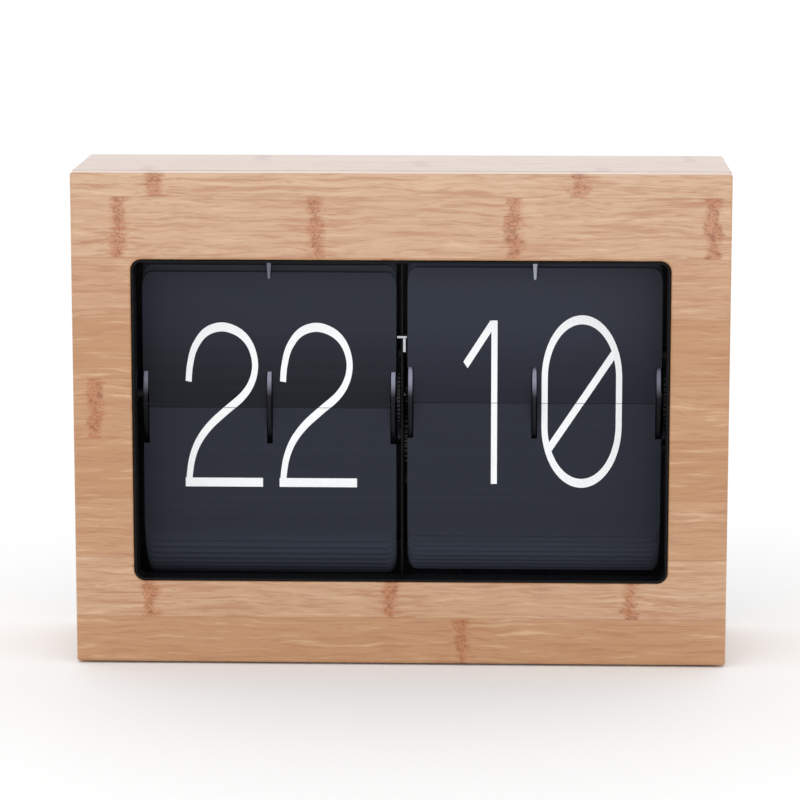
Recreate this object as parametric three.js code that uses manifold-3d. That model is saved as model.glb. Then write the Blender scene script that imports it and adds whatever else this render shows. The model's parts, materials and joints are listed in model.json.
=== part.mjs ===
// A flip number clock in a bamboo case: falling number leaves on two drums, with the gears, motor and
// batteries that turn them. Millimetres, +Z up. The front faces -Y, the origin is on the resting surface
// under the middle of the case, and +X is to the right as the clock is read.

import * as THREE from 'three';
import { mergeVertices } from 'three/addons/utils/BufferGeometryUtils.js';
import Module from 'manifold-3d';

const wasm = await Module();
wasm.setup();

// ---------------------------------------------------------------- driving dimensions

const GAP = 0.3; // between pieces that touch
const PAD_H = 0.7;
const PAD_RADIUS = 9;

const CASE_W = 360;
const CASE_H = 273;
const CASE_D = 100;
const BOARD = 12;
const FRONT_PANEL = 13;
const REBATE = 8; // step in the boards' rear edges that the rear cover sits in
const COVER_T = 3;
const COVER_RECESS = 2; // from the rear edges of the boards to the cover

const WINDOW_W = 294.8;
const WINDOW_H = 179.1;
const WINDOW_SILL = 46.2; // from the underside of the case
const WINDOW_RADIUS = 6;
const LINER_WALL = 1.2;
const LINER_LIP = 0.5; // from the front face back to the liner's edge
const LINER_FLANGE = 8;

const AXIS_Y = 7; // the drums' axis
const AXIS_HEIGHT = 142; // above the underside of the case
const AXLE_RADIUS = 2;
const BORE_RADIUS = 2.35;
const TUBE_RADIUS = 7;
const DISC_RADIUS = 33;
const DISC_T = 2.4;
const DISC_BORE = 7.45;
const PIN_RADIUS = 29; // circle of the leaf pins

const LEAF_INNER = 3.1; // from the clock's centre plane to a leaf's inner end
const LEAF_OUTER = 144.2;
const LEAF_LENGTH = 74; // from the pin to the free edge
const LEAF_HEEL = 1.2; // past the pin
const LEAF_T = 0.4;
const LEAF_STEP = 0.55; // least distance between two leaves
const LEAF_CORNER = [5, 8.5];
const SLOT_DEPTH = 18.5;
const SLOT_HALF = 1.6;
const END_NOTCH = 3.3;
const REST_LEAN = 1.5; // degrees that the standing front leaf leans back
const PACK_LEAN = 12.5; // further lean of the leaf at the top of the drum

// leaves: how many the drum carries, first: degrees from the front of the drum up to the standing
// front leaf's pin, behind: leaves modelled behind the front ones above and below.
const HOURS = { name: 'hour', side: -1, leaves: 48, first: -2.17, behind: 7 };
const MINUTES = { name: 'minute', side: 1, leaves: 60, first: 3.56, behind: 8 };

const BRACKET_T = 1.5;
const BRACKET_X = [150.5, 152];
const CENTRE_X = [-0.75, 0.75];
const RAIL_HALF = 165;

// Gears: teeth and millimetres of module. The minute drum turns once an hour and the hour drum once
// in 48 hours, so the two transfer pairs step down by 6 and by 8 on one centre distance.
const MINUTE_PINION = { teeth: 8, module: 1 };
const TRANSFER_GEAR = { teeth: 48, module: 1 };
const TRANSFER_PINION = { teeth: 8, module: 56 / 72 };
const HOUR_GEAR = { teeth: 64, module: 56 / 72 };
const DRIVE_GEAR = { teeth: 48, module: 1 };
const MOTOR_PINION = { teeth: 12, module: 1 };
const SET_GEAR = { teeth: 16, module: 1 };
const TRANSFER_ANGLE = -75; // degrees about +X from +Y, seen from the axis
const MOTOR_ANGLE = -60;
const SET_ANGLE = 31;
const GEAR_LEFT_X = [-2.75, -1.15];
const GEAR_RIGHT_X = [1.15, 2.75];
const DRIVE_X = [145.5, 148.5];

const TRANSFER_SHAFT = 1.2; // radii of the gears' shafts
const MOTOR_SHAFT = 1;
const SET_SHAFT = 1.6;
const DRIVE_HUB = 6;

const MOTOR_RADIUS = 18;
const MOTOR_EAR = { half: 3.5, reach: 5, thickness: 1 };
const MOTOR_X = [152.5, 163];
const SET_WHEEL_RADIUS = 15;
const SET_WHEEL_X = [152.9, 159];

const CELL_RADIUS = 7.2;
const CELL_LENGTH = 49.5;
const CELL_NUB = 1;
const CELL_NUB_RADIUS = 2.7;
const CELL_Y = 34;
const CELL_Z = [25, 41];
const DOOR_HALF = 31.7;
const DOOR_TOP = 53;
const HINGE = [46.5, 15.5]; // y and z of the battery door's hinge pin

// ---------------------------------------------------------------- worked-out places

const UNDERSIDE = PAD_H + GAP;
const TOP = UNDERSIDE + CASE_H;
const FRONT = -CASE_D / 2;
const BACK = CASE_D / 2;
const HALF_W = CASE_W / 2;
const PANEL_BACK = FRONT + FRONT_PANEL;
const FLOOR_TOP = UNDERSIDE + BOARD; // upper face of the bottom board
const CEILING = TOP - BOARD;
const WALL = HALF_W - BOARD; // inner faces of the side boards
const COVER_Y = [BACK - COVER_RECESS - COVER_T, BACK - COVER_RECESS];
const AXIS_Z = UNDERSIDE + AXIS_HEIGHT;
const AXIS = [AXIS_Y, AXIS_Z];
const LEAF_MIDDLE = (LEAF_INNER + LEAF_OUTER) / 2;
const LEAF_W = LEAF_OUTER - LEAF_INNER;
const DEGREE = Math.PI / 180;

// ---------------------------------------------------------------- shapes

const X_TO_EXTRUDE = new THREE.Matrix4().makeBasis(
  new THREE.Vector3(0, 1, 0),
  new THREE.Vector3(0, 0, 1),
  new THREE.Vector3(1, 0, 0),
);
const Y_TO_EXTRUDE = new THREE.Matrix4().makeBasis(
  new THREE.Vector3(1, 0, 0),
  new THREE.Vector3(0, 0, 1),
  new THREE.Vector3(0, -1, 0),
);

function block([x0, x1], [y0, y1], [z0, z1]) {
  const geometry = new THREE.BoxGeometry(x1 - x0, y1 - y0, z1 - z0);
  return geometry.translate((x0 + x1) / 2, (y0 + y1) / 2, (z0 + z1) / 2);
}

// A shape drawn in (y, z), drawn out along X.
function prismX(shape, [x0, x1], curveSegments = 8) {
  const geometry = new THREE.ExtrudeGeometry(shape, { depth: x1 - x0, bevelEnabled: false, curveSegments });
  return geometry.applyMatrix4(X_TO_EXTRUDE).translate(x0, 0, 0);
}

// A shape drawn in (x, z), drawn out along Y.
function prismY(shape, [y0, y1], curveSegments = 4) {
  const geometry = new THREE.ExtrudeGeometry(shape, { depth: y1 - y0, bevelEnabled: false, curveSegments });
  return geometry.applyMatrix4(Y_TO_EXTRUDE).translate(0, y1, 0);
}

function rodX(radius, [x0, x1], [y, z], sides = 16) {
  const geometry = new THREE.CylinderGeometry(radius, radius, x1 - x0, sides);
  return geometry.rotateZ(-Math.PI / 2).translate((x0 + x1) / 2, y, z);
}

function rodY(radius, [y0, y1], [x, z], sides = 12) {
  const geometry = new THREE.CylinderGeometry(radius, radius, y1 - y0, sides);
  return geometry.translate(x, (y0 + y1) / 2, z);
}

function rodZ(radius, [z0, z1], [x, y], sides = 16) {
  const geometry = new THREE.CylinderGeometry(radius, radius, z1 - z0, sides);
  return geometry.rotateX(Math.PI / 2).translate(x, y, (z0 + z1) / 2);
}

function roundedRectangle([x0, x1], [z0, z1], radius, Kind = THREE.Shape) {
  const shape = new Kind();
  shape.moveTo(x0 + radius, z0);
  shape.lineTo(x1 - radius, z0);
  shape.absarc(x1 - radius, z0 + radius, radius, -Math.PI / 2, 0);
  shape.lineTo(x1, z1 - radius);
  shape.absarc(x1 - radius, z1 - radius, radius, 0, Math.PI / 2);
  shape.lineTo(x0 + radius, z1);
  shape.absarc(x0 + radius, z1 - radius, radius, Math.PI / 2, Math.PI);
  shape.lineTo(x0, z0 + radius);
  shape.absarc(x0 + radius, z0 + radius, radius, Math.PI, Math.PI * 1.5);
  return shape;
}

function polygon(points) {
  return new THREE.Shape(points.map(([a, b]) => new THREE.Vector2(a, b)));
}

function solid(geometry) {
  const bare = geometry.clone();
  bare.deleteAttribute('normal');
  bare.deleteAttribute('uv');
  const merged = mergeVertices(bare);
  const vertProperties = new Float32Array(merged.attributes.position.array);
  const triVerts = new Uint32Array(merged.index.array);
  return new wasm.Manifold(new wasm.Mesh({ numProp: 3, vertProperties, triVerts }));
}

function geometryOf(manifold) {
  const { vertProperties, triVerts } = manifold.getMesh();
  const geometry = new THREE.BufferGeometry();
  geometry.setAttribute('position', new THREE.BufferAttribute(vertProperties, 3));
  geometry.setIndex(new THREE.BufferAttribute(triVerts, 1));
  geometry.computeVertexNormals();
  return geometry;
}

function join(...pieces) {
  return geometryOf(pieces.map(solid).reduce((sum, piece) => sum.add(piece)));
}

function cut(body, ...tools) {
  return geometryOf(tools.map(solid).reduce((rest, tool) => rest.subtract(tool), solid(body)));
}

// ---------------------------------------------------------------- materials and the assembly

const finish = (color, roughness, metalness = 0) => ({ color, roughness, metalness });
const BAMBOO = finish(0xd7ae8b, 0.5);
const BLACK_PLASTIC = finish(0x0c0c10, 0.45);
const LEAF_BLACK = finish(0x30343f, 0.6);
const STEEL = finish(0x9a9cab, 0.35, 1);
const GREY_PLASTIC = finish(0x9a9cab, 0.5);
const GEAR_PLASTIC = finish(0x1c1c20, 0.45);
const FELT = finish(0x2b2b2d, 0.95);
const CELL = finish(0x3c6e8f, 0.4, 0.3);
const BOARD_GREEN = finish(0x2d5a3d, 0.6);

const clock = new THREE.Group();

function add(name, look, geometry) {
  const mesh = new THREE.Mesh(geometry, new THREE.MeshStandardMaterial(look));
  mesh.name = name;
  clock.add(mesh);
}

// ---------------------------------------------------------------- case

const windowX = [-WINDOW_W / 2, WINDOW_W / 2];
const windowZ = [UNDERSIDE + WINDOW_SILL, UNDERSIDE + WINDOW_SILL + WINDOW_H];
const coverZ = [UNDERSIDE + BOARD - REBATE + GAP, TOP - BOARD + REBATE - GAP];
const coverX = HALF_W - BOARD + REBATE - GAP;
const rebateY = [COVER_Y[0] - GAP, BACK + 1];
const boardY = [PANEL_BACK + GAP, BACK];
const SCREW_X = 150;
const SCREW_RADIUS = 1.2;
const SCREW_INSET = 4; // from a board's inner face to the middle of its screws
const SCREW_DEPTH = 12;
const SCREW_HEAD = { radius: 3, height: 1.5 };
const screws = [
  [-SCREW_X, FLOOR_TOP - SCREW_INSET],
  [SCREW_X, FLOOR_TOP - SCREW_INSET],
  [-SCREW_X, CEILING + SCREW_INSET],
  [SCREW_X, CEILING + SCREW_INSET],
];
const screwHoles = screws.map((at) => rodY(SCREW_RADIUS + GAP, [COVER_Y[0] - SCREW_DEPTH, BACK], at, 8));

function grown([low, high], by) {
  return [low - by, high + by];
}

function frontFrame() {
  const shape = polygon([[-HALF_W, UNDERSIDE], [HALF_W, UNDERSIDE], [HALF_W, TOP], [-HALF_W, TOP]]);
  shape.holes.push(roundedRectangle(windowX, windowZ, WINDOW_RADIUS, THREE.Path));
  return prismY(shape, [FRONT, PANEL_BACK]);
}

function levelBoard(z, rebateZ) {
  const board = block([-HALF_W, HALF_W], boardY, z);
  const rebate = block([-coverX - GAP, coverX + GAP], rebateY, rebateZ);
  return cut(board, rebate, ...screwHoles);
}

function sideBoard(side) {
  const x = [side * WALL, side * HALF_W].sort((a, b) => a - b);
  const rebate = [side * (WALL - 1), side * (coverX + GAP)].sort((a, b) => a - b);
  const z = [FLOOR_TOP + GAP, CEILING - GAP];
  return cut(block(x, boardY, z), block(rebate, rebateY, grown(z, 1)));
}

function windowLiner() {
  const outerX = grown(windowX, -GAP);
  const outerZ = grown(windowZ, -GAP);
  const innerX = grown(outerX, -LINER_WALL);
  const innerZ = grown(outerZ, -LINER_WALL);
  const outerRadius = WINDOW_RADIUS - GAP;
  const hole = roundedRectangle(innerX, innerZ, outerRadius - LINER_WALL, THREE.Path);
  const tube = roundedRectangle(outerX, outerZ, outerRadius);
  const flangeRadius = outerRadius + LINER_FLANGE;
  const flange = roundedRectangle(grown(outerX, LINER_FLANGE), grown(outerZ, LINER_FLANGE), flangeRadius);
  tube.holes.push(hole);
  flange.holes.push(hole);
  const flangeY = [PANEL_BACK + GAP, PANEL_BACK + GAP + LINER_WALL];
  return join(prismY(tube, [FRONT + LINER_LIP, flangeY[1]]), prismY(flange, flangeY));
}

add('front_frame', BAMBOO, frontFrame());
add('top_board', BAMBOO, levelBoard([CEILING, TOP], [CEILING - 1, CEILING + REBATE]));
add('bottom_board', BAMBOO, levelBoard([UNDERSIDE, FLOOR_TOP], [FLOOR_TOP - REBATE, FLOOR_TOP + 1]));
add('left_board', BAMBOO, sideBoard(-1));
add('right_board', BAMBOO, sideBoard(1));
add('window_liner', BLACK_PLASTIC, windowLiner());

const PAD_X = 160;
const PAD_Y = 36;
for (const [i, [x, y]] of [[-PAD_X, -PAD_Y], [PAD_X, -PAD_Y], [-PAD_X, PAD_Y], [PAD_X, PAD_Y]].entries()) {
  add(`foot_pad_${i + 1}`, FELT, rodZ(PAD_RADIUS, [0, PAD_H], [x, y]));
}

// ---------------------------------------------------------------- rear cover, door and batteries

const KNUCKLE_RADIUS = 1.6;
const HINGE_PIN_RADIUS = 0.7;
const HINGE_PIN_HALF = 35.5;
const KNUCKLE_RELIEF = 0.4; // clearance below the door's knuckle
const THUMB_RIDGE = { half: 9, rise: 0.9, fromTop: [3.5, 6] };
const doorCutX = [-DOOR_HALF - GAP, DOOR_HALF + GAP];
const doorCutZ = [HINGE[1] - KNUCKLE_RADIUS - KNUCKLE_RELIEF, DOOR_TOP + GAP];
const setCentre = placeAround(AXIS, centreDistance(DRIVE_GEAR, SET_GEAR), SET_ANGLE);
const WHEEL_SLOT_HALF = 12.5;
const WHEEL_SLOT_CLEARANCE = 0.6;
const BOARD_X = [80, 130];
const BOARD_Z = [70, 105];
const BOARD_Y = [41, 42.6];
const POST_RADIUS = 2;
const POST_INSET = 4;

function centreDistance(a, b) {
  return ((a.teeth + b.teeth) * a.module) / 2;
}

function placeAround([y, z], distance, degrees) {
  return [y + distance * Math.cos(degrees * DEGREE), z + distance * Math.sin(degrees * DEGREE)];
}

function rearCover() {
  const plate = block([-coverX, coverX], COVER_Y, coverZ);
  const through = [COVER_Y[0] - 1, COVER_Y[1] + 1];
  const doorway = block(doorCutX, through, doorCutZ);
  const wheelSlot = block(
    grown(SET_WHEEL_X, WHEEL_SLOT_CLEARANCE),
    through,
    grown([setCentre[1], setCentre[1]], WHEEL_SLOT_HALF),
  );
  const pinBore = rodX(HINGE_PIN_RADIUS + GAP, grown([-HINGE_PIN_HALF, HINGE_PIN_HALF], GAP), HINGE, 12);
  const posts = [];
  for (const x of grown(BOARD_X, -POST_INSET)) {
    for (const z of grown(BOARD_Z, -POST_INSET)) {
      posts.push(rodY(POST_RADIUS, [BOARD_Y[1] + GAP, COVER_Y[0] + 1], [x, z], 12));
    }
  }
  return join(cut(plate, doorway, wheelSlot, pinBore, ...screwHoles), ...posts);
}

function batteryDoor() {
  const plateY = [COVER_Y[0] + 0.6, COVER_Y[1] - 0.1];
  const plate = block([-DOOR_HALF, DOOR_HALF], plateY, [HINGE[1] + 0.8, DOOR_TOP]);
  const knuckle = rodX(KNUCKLE_RADIUS - 0.1, [-DOOR_HALF, DOOR_HALF], HINGE, 16);
  const [ridgeTop, ridgeFoot] = THUMB_RIDGE.fromTop;
  const thumbRidge = block(
    [-THUMB_RIDGE.half, THUMB_RIDGE.half],
    [plateY[1] - 0.5, plateY[1] + THUMB_RIDGE.rise],
    [DOOR_TOP - ridgeFoot, DOOR_TOP - ridgeTop],
  );
  const pinBore = rodX(HINGE_PIN_RADIUS + GAP, [-DOOR_HALF - 1, DOOR_HALF + 1], HINGE, 12);
  return cut(join(plate, knuckle, thumbRidge), pinBore);
}

const BOX_HALF = 34;
const BOX_WALL = 1.2;
const CONTACT_T = 0.5;
const CONTACT_HALF = 5;
const SPRING_RADIUS = 3.2;
const STUD_RADIUS = 3;
const boxZ = [16, 55];
const boxY = [25.1, COVER_Y[0] - GAP];

function batteryBox() {
  const inside = block(
    grown([-BOX_HALF, BOX_HALF], -BOX_WALL),
    [boxY[0] + BOX_WALL, boxY[1] + 1],
    grown(boxZ, -BOX_WALL),
  );
  return cut(block([-BOX_HALF, BOX_HALF], boxY, boxZ), inside);
}

function cell(direction, z) {
  const half = CELL_LENGTH / 2;
  const nub = [direction * (half - 1), direction * (half + CELL_NUB)].sort((a, b) => a - b);
  return join(rodX(CELL_RADIUS, [-half, half], [CELL_Y, z]), rodX(CELL_NUB_RADIUS, nub, [CELL_Y, z], 12));
}

// One plate with a spring for one cell's flat end and a stud for the other cell's nub.
function contact(side, springZ, studZ) {
  const wallX = BOX_HALF - BOX_WALL - GAP;
  const plateX = [wallX - CONTACT_T, wallX];
  const springX = [CELL_LENGTH / 2 + GAP, wallX];
  const studX = [CELL_LENGTH / 2 + CELL_NUB + GAP, wallX];
  const to = ([a, b]) => (side > 0 ? [a, b] : [-b, -a]);
  return join(
    block(to(plateX), grown([CELL_Y, CELL_Y], CONTACT_HALF), grown(boxZ, -3)),
    rodX(SPRING_RADIUS, to(springX), [CELL_Y, springZ], 12),
    rodX(STUD_RADIUS, to(studX), [CELL_Y, studZ], 12),
  );
}

add('rear_cover', BLACK_PLASTIC, rearCover());
add('battery_door', BLACK_PLASTIC, batteryDoor());
add('door_hinge_pin', STEEL, rodX(HINGE_PIN_RADIUS, [-HINGE_PIN_HALF, HINGE_PIN_HALF], HINGE, 12));
add('battery_box', BLACK_PLASTIC, batteryBox());
add('battery_lower', CELL, cell(1, CELL_Z[0]));
add('battery_upper', CELL, cell(-1, CELL_Z[1]));
add('battery_contact_right', STEEL, contact(1, CELL_Z[1], CELL_Z[0]));
add('battery_contact_left', STEEL, contact(-1, CELL_Z[0], CELL_Z[1]));
add('circuit_board', BOARD_GREEN, block(BOARD_X, BOARD_Y, BOARD_Z));

for (const [i, at] of screws.entries()) {
  const shank = rodY(SCREW_RADIUS, [COVER_Y[0] - SCREW_DEPTH + 1, COVER_Y[1] + 1], at, 8);
  const headY = [COVER_Y[1] + GAP, COVER_Y[1] + GAP + SCREW_HEAD.height];
  const head = rodY(SCREW_HEAD.radius, headY, at, 12);
  add(`cover_screw_${i + 1}`, STEEL, join(shank, head));
}

// ---------------------------------------------------------------- frame of the movement

const transferCentre = placeAround(AXIS, centreDistance(MINUTE_PINION, TRANSFER_GEAR), TRANSFER_ANGLE);
const motorCentre = placeAround(AXIS, centreDistance(DRIVE_GEAR, MOTOR_PINION), MOTOR_ANGLE);
const railTopZ = [234.6, 242];
const railTopY = [-32, -22.3];
const railBaseZ = [FLOOR_TOP + GAP, FLOOR_TOP + GAP + 2];
const railBaseY = [-24, 22];
const bracketFoot = railBaseZ[1] + GAP;
const bracketFrontY = railTopY[1] + GAP;
const BRACKET_TOP = 244;
const BRACKET_BACK = 20; // rear edge of the brackets' feet
const BRACKET_FOOT = 12;
const CENTRE_FOOT = { half: 2.7, front: -16 };
const LUG = { y: [-20, -15], z: [179.1, 180.3], legZ: 171.3 };

// A side plate with a folded foot, bored for the axle and for the shafts beside it.
function sideBracket(side, holes) {
  const x = side > 0 ? BRACKET_X : [-BRACKET_X[1], -BRACKET_X[0]];
  const outline = polygon([
    [bracketFrontY, bracketFoot], [BRACKET_BACK, bracketFoot], [BRACKET_BACK, 95], [40, 104], [40, 176],
    [14, 186], [-8, 224], [-8, BRACKET_TOP], [bracketFrontY, BRACKET_TOP],
  ]);
  const footX = side > 0 ? [x[0], x[0] + BRACKET_FOOT] : [x[1] - BRACKET_FOOT, x[1]];
  const foot = block(footX, [bracketFrontY, BRACKET_BACK], [bracketFoot, bracketFoot + BRACKET_T]);
  const plate = join(prismX(outline, x), foot);
  return cut(plate, ...holes.map(([radius, at]) => rodX(radius, grown(x, 1), at, 10)));
}

function centreBracket() {
  const outline = polygon([
    [CENTRE_FOOT.front, bracketFoot], [BRACKET_BACK, bracketFoot], [26, 100], [26, 156], [4, 186], [-8, 224],
    [-8, BRACKET_TOP], [bracketFrontY, BRACKET_TOP], [bracketFrontY, 230], [CENTRE_FOOT.front, 226],
  ]);
  const footX = [-CENTRE_FOOT.half, CENTRE_FOOT.half];
  const foot = block(footX, [CENTRE_FOOT.front, BRACKET_BACK], [bracketFoot, bracketFoot + BRACKET_T]);
  const lug = block(footX, LUG.y, LUG.z);
  const lugLeg = block([0.6, 2.1], LUG.y, [LUG.legZ, LUG.z[0] + 0.5]);
  const lugWeb = block([CENTRE_X[0], 0.9], [-17, LUG.y[1]], [LUG.legZ, LUG.z[1] - 0.5]);
  const plate = join(prismX(outline, CENTRE_X), foot, lug, lugLeg, lugWeb);
  const bores = [[AXLE_RADIUS + GAP, AXIS], [TRANSFER_SHAFT + GAP, transferCentre]];
  return cut(plate, ...bores.map(([radius, at]) => rodX(radius, grown(CENTRE_X, 1), at, 10)));
}

// A flat finger that hangs in front of a standing leaf's top edge, narrowing to its round tip.
const FINGER = { tipRadius: 0.7, half: 1.7, length: 17, plateHalf: 3.5, shoulder: 23, thickness: 0.8 };
const FINGER_OVERLAP = 4.7; // of the finger's tip below the leaf's top edge

function retainer(middle) {
  const tip = AXIS_Z + LEAF_LENGTH - FINGER_OVERLAP;
  const { tipRadius, half, plateHalf } = FINGER;
  const shape = new THREE.Shape();
  shape.moveTo(middle - half, tip + FINGER.length);
  shape.lineTo(middle - tipRadius, tip + tipRadius);
  shape.absarc(middle, tip + tipRadius, tipRadius, Math.PI, Math.PI * 2);
  shape.lineTo(middle + half, tip + FINGER.length);
  shape.lineTo(middle + plateHalf, tip + FINGER.shoulder);
  shape.lineTo(middle + plateHalf, railTopZ[1]);
  shape.lineTo(middle - plateHalf, railTopZ[1]);
  shape.lineTo(middle - plateHalf, tip + FINGER.shoulder);
  return prismY(shape, [railTopY[1] + GAP, railTopY[1] + GAP + FINGER.thickness]);
}

const CLIP = { radius: 4.5, thickness: 0.8 };
const COLLAR_RADIUS = 4;

function clip(x) {
  return cut(rodX(CLIP.radius, x, AXIS), rodX(AXLE_RADIUS + GAP, grown(x, 1), AXIS, 12));
}

const clipX = [BRACKET_X[1] + GAP, BRACKET_X[1] + GAP + CLIP.thickness];
const AXLE_HALF = 156;
const rightBores = [
  [AXLE_RADIUS + GAP, AXIS],
  [MOTOR_SHAFT + 2 * GAP, motorCentre],
  [SET_SHAFT + GAP + 0.2, setCentre],
];
add('base_rail', STEEL, block([-RAIL_HALF, RAIL_HALF], railBaseY, railBaseZ));
add('top_rail', BLACK_PLASTIC, block([-RAIL_HALF, RAIL_HALF], railTopY, railTopZ));
add('left_bracket', STEEL, sideBracket(-1, [[AXLE_RADIUS + GAP, AXIS]]));
add('right_bracket', STEEL, sideBracket(1, rightBores));
add('centre_bracket', STEEL, centreBracket());
add('hour_retainer', GREY_PLASTIC, retainer(-LEAF_MIDDLE));
add('minute_retainer', GREY_PLASTIC, retainer(LEAF_MIDDLE));
add('main_axle', STEEL, rodX(AXLE_RADIUS, [-AXLE_HALF, AXLE_HALF], AXIS));
add('axle_clip_left', STEEL, clip([-clipX[1], -clipX[0]]));
add('axle_clip_right', STEEL, clip(clipX));
const collarX = [-BRACKET_X[0] + GAP, -DRIVE_X[0]];
const collarBore = rodX(BORE_RADIUS, grown(collarX, 1), AXIS, 12);
add('end_collar', BLACK_PLASTIC, cut(rodX(COLLAR_RADIUS, collarX, AXIS), collarBore));

// ---------------------------------------------------------------- gears

const ADDENDUM = 0.8;
const DEDENDUM = 1.2;
const TOOTH_SHARE = { root: 0.28, tip: 0.11 }; // half a tooth's width, as a share of the pitch

function gearShape({ teeth, module }, phase, [y, z]) {
  const step = (2 * Math.PI) / teeth;
  const pitchRadius = (teeth * module) / 2;
  const corners = [
    [pitchRadius - DEDENDUM * module, -TOOTH_SHARE.root],
    [pitchRadius + ADDENDUM * module, -TOOTH_SHARE.tip],
    [pitchRadius + ADDENDUM * module, TOOTH_SHARE.tip],
    [pitchRadius - DEDENDUM * module, TOOTH_SHARE.root],
  ];
  const points = [];
  for (let tooth = 0; tooth < teeth; tooth += 1) {
    for (const [radius, share] of corners) {
      const angle = phase + (tooth + share) * step;
      points.push([y + radius * Math.cos(angle), z + radius * Math.sin(angle)]);
    }
  }
  return polygon(points);
}

// The angle of a tooth on a gear that meshes with a driver whose tooth is at driverPhase, where
// direction is the angle from the driver's centre to the gear's.
function meshedPhase(driver, driverPhase, gear, direction) {
  const step = (2 * Math.PI) / gear.teeth;
  return direction + Math.PI + step / 2 - ((driverPhase - direction) * driver.teeth) / gear.teeth;
}

function gearOnAxle(gear, phase, x, hub = []) {
  const wheel = prismX(gearShape(gear, phase, AXIS), x);
  return cut(hub.length ? join(wheel, ...hub) : wheel, rodX(BORE_RADIUS, grown(x, 3), AXIS, 12));
}

const transferAngle = TRANSFER_ANGLE * DEGREE;
const transferPhase = meshedPhase(MINUTE_PINION, transferAngle, TRANSFER_GEAR, transferAngle);
const hourPhase = transferAngle;
const transferPinionPhase = meshedPhase(HOUR_GEAR, hourPhase, TRANSFER_PINION, transferAngle);
const drivePhase = MOTOR_ANGLE * DEGREE;
const motorPhase = meshedPhase(DRIVE_GEAR, drivePhase, MOTOR_PINION, MOTOR_ANGLE * DEGREE);
const setPhase = meshedPhase(DRIVE_GEAR, drivePhase, SET_GEAR, SET_ANGLE * DEGREE);

function transferGear() {
  const wheel = prismX(gearShape(TRANSFER_GEAR, transferPhase, transferCentre), GEAR_RIGHT_X);
  return cut(wheel, rodX(TRANSFER_SHAFT + GAP, grown(GEAR_RIGHT_X, 1), transferCentre, 16));
}

function pinionWithShaft(gear, phase, centre, gearX, shaftX, shaftRadius) {
  const shaft = rodX(shaftRadius, shaftX, centre, 16);
  return join(prismX(gearShape(gear, phase, centre), gearX), shaft);
}

add('minute_pinion', GEAR_PLASTIC, gearOnAxle(MINUTE_PINION, transferAngle, GEAR_RIGHT_X));
add('transfer_gear', GEAR_PLASTIC, transferGear());
add('transfer_pinion', STEEL, pinionWithShaft(
  TRANSFER_PINION, transferPinionPhase, transferCentre, GEAR_LEFT_X, [-2.2, 2.9], TRANSFER_SHAFT));
add('hour_gear', GEAR_PLASTIC, gearOnAxle(HOUR_GEAR, hourPhase, GEAR_LEFT_X));
const driveHub = rodX(DRIVE_HUB, [DRIVE_X[1] - 1, BRACKET_X[0] - GAP], AXIS);
add('minute_drive_gear', GEAR_PLASTIC, gearOnAxle(DRIVE_GEAR, drivePhase, DRIVE_X, [driveHub]));
add('motor_pinion', GEAR_PLASTIC, pinionWithShaft(
  MOTOR_PINION, motorPhase, motorCentre, DRIVE_X, [DRIVE_X[0] + 1, MOTOR_X[0] - GAP], MOTOR_SHAFT));
add('set_gear', GEAR_PLASTIC, pinionWithShaft(
  SET_GEAR, setPhase, setCentre, DRIVE_X, [DRIVE_X[0] + 1, SET_WHEEL_X[0] - GAP], SET_SHAFT));
add('set_wheel', BLACK_PLASTIC, rodX(SET_WHEEL_RADIUS, SET_WHEEL_X, setCentre, 28));

function motorCan() {
  const can = rodX(MOTOR_RADIUS, MOTOR_X, motorCentre, 24);
  const [y, z] = motorCentre;
  const ears = block(
    [MOTOR_X[0], MOTOR_X[0] + MOTOR_EAR.thickness],
    grown([y, y], MOTOR_EAR.half),
    grown([z, z], MOTOR_RADIUS + MOTOR_EAR.reach),
  );
  return join(can, ears);
}

add('motor_can', STEEL, motorCan());

// ---------------------------------------------------------------- drums and leaves

function pitchOf(unit) {
  return 360 / unit.leaves;
}

function sorted(side, [near, far]) {
  return side > 0 ? [near, far] : [-far, -near];
}

function disc(x) {
  return cut(rodX(DISC_RADIUS, x, AXIS, 36), rodX(DISC_BORE, grown(x, 1), AXIS, 12));
}

const TUBE_X = [3.05, DRIVE_X[0] - GAP];
const discPlaces = {
  inner: LEAF_INNER + END_NOTCH / 2,
  middle: LEAF_MIDDLE,
  outer: LEAF_OUTER - END_NOTCH / 2,
};

function addDrum(unit) {
  const x = sorted(unit.side, TUBE_X);
  const bore = rodX(BORE_RADIUS, grown(x, 1), AXIS, 12);
  add(`${unit.name}_drum_tube`, GREY_PLASTIC, cut(rodX(TUBE_RADIUS, x, AXIS), bore));
  for (const [place, at] of Object.entries(discPlaces)) {
    const discX = sorted(unit.side, [at - DISC_T / 2, at + DISC_T / 2]);
    add(`${unit.name}_disc_${place}`, GREY_PLASTIC, disc(discX));
  }
}

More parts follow.
